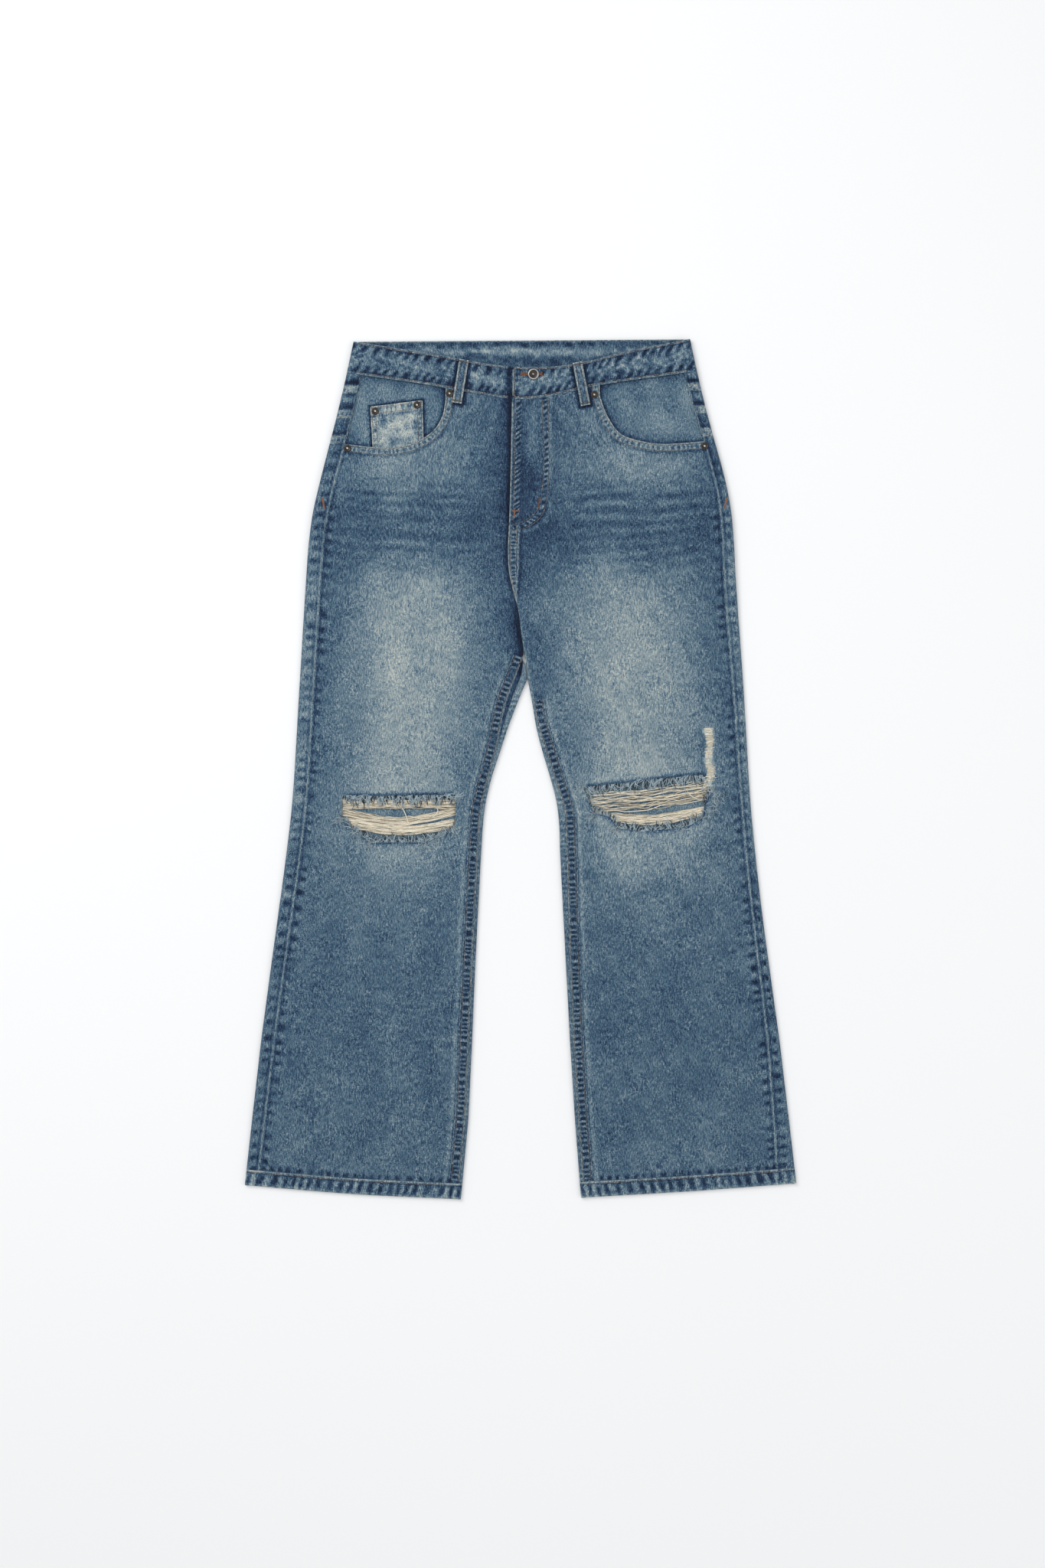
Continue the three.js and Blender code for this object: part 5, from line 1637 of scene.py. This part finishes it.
def sew_front(side):
    """A front panel's seams: their stitches, welts, bartacks and rubbed edges."""
    sewing = Sewing(f"stitches_front_{WORD[side]}")
    height = partial(front_height, side)
    # Felled inseam, two rows.
    ys = np.linspace(140 if side == RIGHT else 86, -507, 320)
    for inset in (1.6, 10.4):
        sewing.row(follow(lambda y: inseam_line(side, y) + side * inset, ys), height, wear=0.0)
    sewing.welt(follow(lambda y: inseam_line(side, y) + side * 6.1, ys), 8.6, height,
                lambda along, across: 0.27 + 0.22 * puckers(along, INSEAM_PUCKER, 11 + side)
                + 0.14 * bump((np.abs(across) - 4.1) / 0.7))
    # Pocket scoop, two rows.
    scoop = SCOOP[side]
    for inset in (2.0, 8.4):
        sewing.row(offset_line(scoop, side * -inset), height, wear=0.1)
    sewing.welt(offset_line(scoop, side * -5.2), 5.4, height,
                lambda along, across: 0.43 + 0.13 * puckers(along, SCOOP_PUCKER, 91 + side)
                + 0.14 * bump((np.abs(across) - 2.5) / 0.8), rise=0.4)
    if side == LEFT:
        fly = [(27, 456), (26.6, 347), (24.5, 331), (19, 317.5), (10, 309), (0, 304), (-10, 301)]
        outer = [(34, 457), (33.6, 345), (31, 325), (25, 311), (15, 302), (3, 296.5),
                 (-11, 294)]
        for line in (fly, outer):
            sewing.row(smooth_path(line), height, wear=0.1)
        between_rows = [(30.4, 456), (30.2, 346), (27.8, 328), (22, 314), (12.5, 305.5),
                        (1.5, 300), (-10, 297.5)]
        sewing.welt(smooth_path(between_rows, 60), 5.6, height,
                    lambda along, across: 0.28 + 0.20 * puckers(along + 0.5 * across, 6.8, 301)
                    + 0.12 * bump((np.abs(across) - 2.6) / 0.8))
        sewing.welt(follow(lambda y: CENTRE(y) + 8.6, np.linspace(456, 306, 90)), 7.4, height,
                    lambda along, across: 0.26 + 0.20 * puckers(along + 0.7 * across, 6.2, 303)
                    + 0.10 * bump((across + 3.2) / 1.0), rise=0.4)
        sewing.welt(follow(lambda y: CENTRE(y) + 6.4 * step(y, *CENTRE_OPENS),
                           np.linspace(297, 226, 60)), 7.0, height,
                    lambda along, across: 0.33 + 0.17 * puckers(along, 5.2, 305)
                    + 0.12 * bump((np.abs(across) - 3.2) / 0.8))
        # The centre seam's two rows, which close up towards the crotch.
        ys = np.linspace(300, 212, 60)
        for share in (0.25, 0.78):
            sewing.row(follow(lambda y: CENTRE(y) + 12.5 * share * step(y, *CENTRE_OPENS), ys),
                       height, wear=0.3)
        sewing.row(follow(lambda y: CENTRE(y) + 4.5, np.linspace(455, 306, 80)), height,
                   wear=0.2)
        sewing.tack((-6, 318), (1, 0), 1.8, 10, height, wear=0.45)
        sewing.tack((-7.5, 316), (0, 1), 1.4, 9, height, wear=0.75)
        sewing.tack((22.8, 328), (0.1, 1), 2.0, 13, height, wear=0.15)
    seam_end = front_side(side, SIDE_SEAM_SPLIT)
    sewing.tack((seam_end + side * 7, SIDE_SEAM_SPLIT), (0.15 * side, 1), 2.4, 13,
                partial(strip_height, side), wear=0.75)
    rubbed_edges(side, sewing)
    sewing.make()


def rubbed_edges(side, sewing):
    """Pale crests down the side seam, the inseam, the scoop and the centre."""
    height = partial(front_height, side)
    ys = np.linspace(452 if side == LEFT else 450, -494, 400)
    side_line = follow(lambda y: front_side(side, y) - side * (0.6 + 0.8 * ripple(
        0 * y, y, 17, 321 + side)), ys)
    facing_y, facing_z = 402, 6.9         # above this the edge lies on the pocket facing
    sewing.edge(side_line, lambda x, y: np.where(y > facing_y, facing_z, height(x, y)), 0.55,
                0.50, 9, 181 + side)
    ys = np.linspace(144 if side == RIGHT else 88, -507, 320)
    for inset in (0.5, 12.6):
        sewing.edge(follow(lambda y: inseam_line(side, y) + side * inset, ys), height, 0.5, 0.50,
                    7, 183 + side)
    sewing.edge(offset_line(SCOOP[side], side * -0.5), height, 0.65, 0.60, 6, 185 + side)
    if side == LEFT:
        sewing.edge(follow(lambda y: CENTRE(y) + 0.5, np.linspace(455, 204, 120)), height,
                    0.65, 0.60, 8, 187)
        sewing.edge(follow(lambda y: CENTRE(y) + 12.5 * step(y, *CENTRE_OPENS),
                           np.linspace(294, 208, 60)), height, 0.5, 0.56, 8, 188)


def smooth_path(points, count=40):
    """A smooth curve through a few [x, y] points."""
    points = np.asarray(points, float)
    along = np.concatenate([[0], np.cumsum(np.linalg.norm(np.diff(points, axis=0), axis=1))])
    at = np.linspace(0, along[-1], count)
    return np.stack([Line(along, points[:, 0])(at), Line(along, points[:, 1])(at)], 1)


def sew_strip(side):
    """Two rows of stitches over each of the yoke's seams, where they show beside the pocket."""
    sewing = Sewing(f"stitches_yoke_{WORD[side]}")
    for seam in YOKE_SEAMS:
        for up in (2.2, 8.2):
            y0 = float(seam(side * STRIP_MIDDLE)) + up
            ends = (float(SIDE_SEAM[side](y0)) + side * 1.5, float(OUTER[side](y0)) - side * 2.5)
            line = [(ends[0], float(seam(ends[0])) + up), (ends[1], float(seam(ends[1])) + up)]
            sewing.row(line, lambda x, y: strip_height(side, x, y) + 0.5, wear=0.3)
    sewing.make()


def sew_hem(side):
    """The hem's one row of stitches, just below its upper edge."""
    sewing = Sewing(f"stitches_hem_{WORD[side]}")
    xs = np.linspace(*sorted((side * 80.0, side * 334.0)), 120)
    sewing.row(level_line(HEM[side], HEM_TALL - 2.8, xs), partial(hem_height, side), wear=0.15)
    sewing.make()


def sew_waistband():
    """The band's stitches and rubbed folds, and the purl stitches round its buttonhole."""
    sewing = Sewing("stitches_waistband")
    for left, right in ((-8, 205), (-202, -15)):
        xs = np.linspace(left, right, 120)
        for line, shift in ((FRONT_SEAM, 2.4), (FRONT_EDGE, -2.2)):
            sewing.row(level_line(line, shift, xs), band_height, wear=0.3)
    end = [(FLAP_END_X + 2.4, float(FRONT_SEAM(-7)) + 2.4),
           (FLAP_END_X + 2.4, float(FRONT_EDGE(-7)) - 2.2)]
    sewing.row(end, band_height, wear=0.3)
    # The rubbed crests of the band's folds.
    for left, right in ((-9, 208), (-206, -14)):
        xs = np.linspace(left, right, 110)
        sewing.edge(level_line(FRONT_SEAM, 0.6, xs), band_height, 0.5, 0.50, 9, 191)
        sewing.edge(level_line(FRONT_EDGE, -0.5, xs), band_height, 0.45, 0.52, 9, 192)
    sewing.edge([(FLAP_END_X + 0.4, float(FRONT_SEAM(-9)) + 1),
                 (FLAP_END_X + 0.4, float(FRONT_EDGE(-9)) - 1)], band_height, 0.6, 0.58, 8, 193)
    sewing.edge(level_line(BACK_EDGE, -0.4, np.linspace(-200, 204, 200)),
                lambda x, y: 4.4 + 0 * x, 0.6, 0.58, 9, 194)
    # Purl stitches round the buttonhole.
    x, y = BUTTON[0] - 1.6, BUTTON[1]
    rim = [(x + 11.5, y + 1.5), (x - 8, y + 1.5), (x - 11, y + 2.6), (x - 13.6, y + 1.6),
           (x - 14.4, y), (x - 13.6, y - 1.6), (x - 11, y - 2.6), (x - 8, y - 1.5),
           (x + 11.5, y - 1.5)]
    points, along = resampled(np.array(rim), 0.62)
    out = np.stack([-along[:, 1], along[:, 0]], 1)
    for point, way in zip(points, out):
        ends = np.array([point - way * 0.2, point - way * -2.2])
        sewing.row(ends, band_height, "orange_thread", pitch=2.6, length=2.4, thickness=0.6,
                   sunk=0.0, wear=0.5)
    sewing.tack((x + 12.2, y), (0, 1), 1.6, 5.0, band_height, wear=0.5)
    sewing.make()


def sew_loops():
    """Two rows of stitches down each front loop, and a bartack at each end."""
    sewing = Sewing("stitches_loops")
    for at, turn in LOOPS_FRONT.values():
        def height(x, y, at=at, turn=turn):
            return over_band(off_loop(at, turn, x, y)[0])

        for across in (-3.5, 3.5):
            line = [on_loop(at, turn, along, across) for along in np.linspace(24, -24, 12)]
            sewing.row(line, height, wear=0.25)
        a = math.radians(turn)
        for along in (24.5, -24.5):
            sewing.tack(on_loop(at, turn, along), (math.cos(a), math.sin(a)), 1.8, 10.5,
                        height, "topstitch_thread", wear=0.25)
    sewing.make()


def sew_coin_pocket():
    """Two rows round the coin pocket, and two under its folded top."""
    sewing = Sewing("stitches_coin_pocket")
    a, b = COIN_TOP[np.argsort(COIN_TOP[:, 0])]
    lower = COIN[np.argsort(COIN[:, 1])[:2]]
    c, d = lower[np.argsort(lower[:, 0])]

    def height(x, y):
        return 5.8 + 0.35 * between(below_coin_top(x, y), -1, 11, 0.7)

    for inset in (1.8, 6.4):
        corners = np.array([a, c, d, b], float)
        middle = corners.mean(0)
        shrink = corners + np.sign(middle - corners) * (inset, 0)
        shrink[1:3, 1] += inset
        sewing.row(shrink, height, wear=-0.05)
    for drop in (2.0, 9.4):
        sewing.row([a + (1, -drop), b + (-1, -drop)], height, wear=0.2)
    sewing.make()


# ---- Settings ------------------------------------------------------------------------------------
class JeansStitches(bpy.types.PropertyGroup):
    """Sizes of the visible topstitching."""

    length: bpy.props.FloatProperty(
        name="Stitch length", description="Length of one topstitch", default=0.0031,
        min=0.001, unit="LENGTH")
    thickness: bpy.props.FloatProperty(
        name="Thread thickness", description="Thickness of the topstitching thread",
        default=0.00085, min=0.0002, unit="LENGTH")


class JeansRips(bpy.types.PropertyGroup):
    """What is left in and round the knee rips."""

    weft_yarns: bpy.props.IntProperty(
        name="Weft yarns", description="Yarns in each band left across a rip", default=24,
        min=4, max=60)
    fringe: bpy.props.FloatProperty(
        name="Fringe length", description="Reach of the frayed warp along a rip's upper edge",
        default=0.017, min=0.002, unit="LENGTH")


def colour(label, description, hex_colour):
    return bpy.props.FloatVectorProperty(
        name=label, description=description, subtype="COLOR", size=3, min=0.0, max=1.0,
        default=linear(hex_colour)[:3])


class JeansColours(bpy.types.PropertyGroup):
    """Colours of the threads, yarns, metal and floor. The denim's own are in INDIGO."""

    weft_dark: colour("Weft, shaded", "Undyed weft between its plies", "#8a7d62")
    weft_light: colour("Weft", "Undyed weft on its crests", "#f6edd9")
    warp_dark: colour("Warp, shaded", "Dyed warp between its plies", "#0d2133")
    warp_light: colour("Warp", "Dyed warp on its crests", "#acbfc8")
    topstitch_dark: colour("Topstitch, shaded", "Topstitch thread in its twist", "#544a42")
    topstitch_light: colour("Topstitch", "Topstitch thread on its crests", "#c6bdad")
    bartack_dark: colour("Bartack, shaded", "Bartack thread in its twist", "#6b3f2b")
    bartack_light: colour("Bartack", "Bartack thread on its crests", "#b98057")
    zip_tape_dark: colour("Zip tape, shaded", "Zip tape between its yarns", "#4b4031")
    zip_tape_light: colour("Zip tape", "Zip tape on its yarns", "#8d7b58")
    steel_dark: colour("Steel, dark", "Oxide in the steel's hollows", "#3a332e")
    steel_light: colour("Steel, rubbed", "Steel where it is rubbed bright", "#c9c8c2")
    floor: colour("Floor", "Painted floor", "#fdfdfd")


class JeansStage(bpy.types.PropertyGroup):
    """Floor, light and camera."""

    floor_size: bpy.props.FloatProperty(
        name="Floor size", description="Width of the square floor", default=30.0, unit="LENGTH")
    camera_height: bpy.props.FloatProperty(
        name="Camera height", description="Height of the overhead camera above the floor",
        default=4.0, unit="LENGTH")


# ---- Operators -----------------------------------------------------------------------------------
SENSOR = 36                   # mm, the height of the camera's sensor
VIEW_TALL = 1.935             # metres of floor that the view takes in from top to bottom
VIEW_MIDDLE = (0.0024, -0.018)


class JEANS_OT_stage(bpy.types.Operator):
    """Lay the floor, hang the lights and set the overhead camera"""

    bl_idname = "jeans.stage"
    bl_label = "Floor, light and camera"

    def execute(self, context):
        s = context.scene.jeans_stage
        half = s.floor_size / 2
        mesh = bpy.data.meshes.new("floor")
        mesh.from_pydata([(-half, -half, 0), (half, -half, 0), (half, half, 0),
                          (-half, half, 0)], [], [(0, 1, 2, 3)])
        mesh.materials.append(material("floor"))
        floor = bpy.data.objects.new("floor", mesh)
        context.scene.collection.objects.link(floor)
        floor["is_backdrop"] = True
        for name, place, size, power in (("soft_key", (-1.9, 1.6, 2.6), 2.2, 50),
                                         ("soft_fill", (2.4, -0.8, 2.8), 3.0, 22),
                                         ("soft_top", (0.0, 0.2, 4.6), 3.2, 43)):
            light = bpy.data.lights.new(name, "AREA")
            light.shape = "DISK"
            light.size = size
            light.energy = power
            lamp = bpy.data.objects.new(name, light)
            lamp.location = place
            aim = Vector((0, 0, 0)) - lamp.location
            lamp.rotation_euler = aim.to_track_quat("-Z", "Y").to_euler()
            context.scene.collection.objects.link(lamp)
        world = bpy.data.worlds.new("pale_room")
        world.use_nodes = True
        sky = world.node_tree.nodes["Background"].inputs
        sky["Color"].default_value = linear("#f4f6f8")
        sky["Strength"].default_value = 0.50
        context.scene.world = world
        camera = bpy.data.cameras.new("overhead_camera")
        camera.sensor_fit = "VERTICAL"
        camera.sensor_height = SENSOR
        camera.lens = SENSOR * s.camera_height / VIEW_TALL
        eye = bpy.data.objects.new("overhead_camera", camera)
        eye.location = (*VIEW_MIDDLE, s.camera_height)
        context.scene.collection.objects.link(eye)
        context.scene.camera = eye
        context.scene.view_settings.view_transform = "Standard"
        return {"FINISHED"}


class JEANS_OT_fronts(bpy.types.Operator):
    """Cut and lay the two front panels, with their pocket scoops, rips and topstitching"""

    bl_idname = "jeans.fronts"
    bl_label = "Front panels"

    def execute(self, context):
        for side in (RIGHT, LEFT):
            front_panel(side)
            sew_front(side)
        return {"FINISHED"}


class JEANS_OT_backs(bpy.types.Operator):
    """Lay the back panels, yokes and back pockets below, wrapped forward at the side seams"""

    bl_idname = "jeans.backs"
    bl_label = "Back panels and yokes"

    def execute(self, context):
        for side in (RIGHT, LEFT):
            back_panel(side)
            yoke_bands(side)
            sew_strip(side)
            back_pocket(side)
        return {"FINISHED"}


class JEANS_OT_hems(bpy.types.Operator):
    """Turn up and stitch the two roped hems"""

    bl_idname = "jeans.hems"
    bl_label = "Hems"

    def execute(self, context):
        for side in (RIGHT, LEFT):
            hem(side)
            sew_hem(side)
        return {"FINISHED"}


class JEANS_OT_waist(bpy.types.Operator):
    """Wrap the waistband round and sew on the belt loops and the buttonhole"""

    bl_idname = "jeans.waist"
    bl_label = "Waistband and loops"

    def execute(self, context):
        waistband()
        sew_waistband()
        for name, (at, turn) in LOOPS_FRONT.items():
            belt_loop(name, at, turn, LOOP_LONG, over_band)
        sew_loops()
        for word, x in (("right", -128), ("centre", -4), ("left", 128)):
            belt_loop(f"loop_back_{word}", (x, 498.5), 0, 51, lambda y: 0.25 + 0 * y, up=-1)
        return {"FINISHED"}


class JEANS_OT_pockets(bpy.types.Operator):
    """Lay the pocket facings, the coin pocket and the pieces behind the fly"""

    bl_idname = "jeans.pockets"
    bl_label = "Pockets and fly"

    def execute(self, context):
        for side in (RIGHT, LEFT):
            facing(side)
        coin_pocket()
        sew_coin_pocket()
        fly_layer("fly_shield", 4.1)
        fly_layer("fly_facing", 7.4)
        zipper()
        return {"FINISHED"}


class JEANS_OT_rips(bpy.types.Operator):
    """Leave the weft yarns across each rip and fray the warp along its edges"""

    bl_idname = "jeans.rips"
    bl_label = "Rips"

    def execute(self, context):
        for seed, (name, ends) in enumerate(WEFT_BANDS.items(), 301):
            weft_band(name, *ends, seed)
        for side in (RIGHT, LEFT):
            for where in ("upper", "lower"):
                fringe(side, where)
            tufts(side)
            broken_ends(side)
        worn_strip()
        return {"FINISHED"}


class JEANS_OT_metal(bpy.types.Operator):
    """Turn the waist button and the six rivets"""

    bl_idname = "jeans.metal"
    bl_label = "Button and rivets"

    def execute(self, context):
        waist_button()
        for name in NODES:
            if name.startswith("rivet_"):
                rivet(name)
        return {"FINISHED"}


class JEANS_PT_panel(bpy.types.Panel):
    """Shows the jeans' settings and the buttons that build it in the sidebar"""

    bl_idname = "JEANS_PT_panel"
    bl_label = "Ripped jeans"
    bl_space_type = "VIEW_3D"
    bl_region_type = "UI"
    bl_category = "Jeans"

    def draw(self, context):
        layout = self.layout
        for group in GROUPS:
            settings = getattr(context.scene, group)
            for name in settings.__annotations__:
                layout.prop(settings, name)
        for operator in OPERATORS:
            layout.operator(operator.bl_idname)


GROUPS = {"jeans_stitches": JeansStitches, "jeans_rips": JeansRips,
          "jeans_colours": JeansColours, "jeans_stage": JeansStage}
OPERATORS = (JEANS_OT_stage, JEANS_OT_backs, JEANS_OT_fronts, JEANS_OT_hems, JEANS_OT_pockets,
             JEANS_OT_waist, JEANS_OT_rips, JEANS_OT_metal)


def register():
    for name, group in GROUPS.items():
        bpy.utils.register_class(group)
        setattr(bpy.types.Scene, name, bpy.props.PointerProperty(type=group))
    for made in (*OPERATORS, JEANS_PT_panel):
        bpy.utils.register_class(made)


def unregister():
    for made in (JEANS_PT_panel, *reversed(OPERATORS)):
        bpy.utils.unregister_class(made)
    for name, group in GROUPS.items():
        delattr(bpy.types.Scene, name)
        bpy.utils.unregister_class(group)


def main():
    register()
    for name in ("stage", "backs", "fronts", "hems", "pockets", "waist", "rips", "metal"):
        getattr(bpy.ops.jeans, name)()
    boxes = {"cad": CAD_BOX, "visual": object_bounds()}
    ({k: [[float(v) for v in corner] for corner in box]
               for k, box in boxes.items()})


if __name__ == "__main__":
    main()
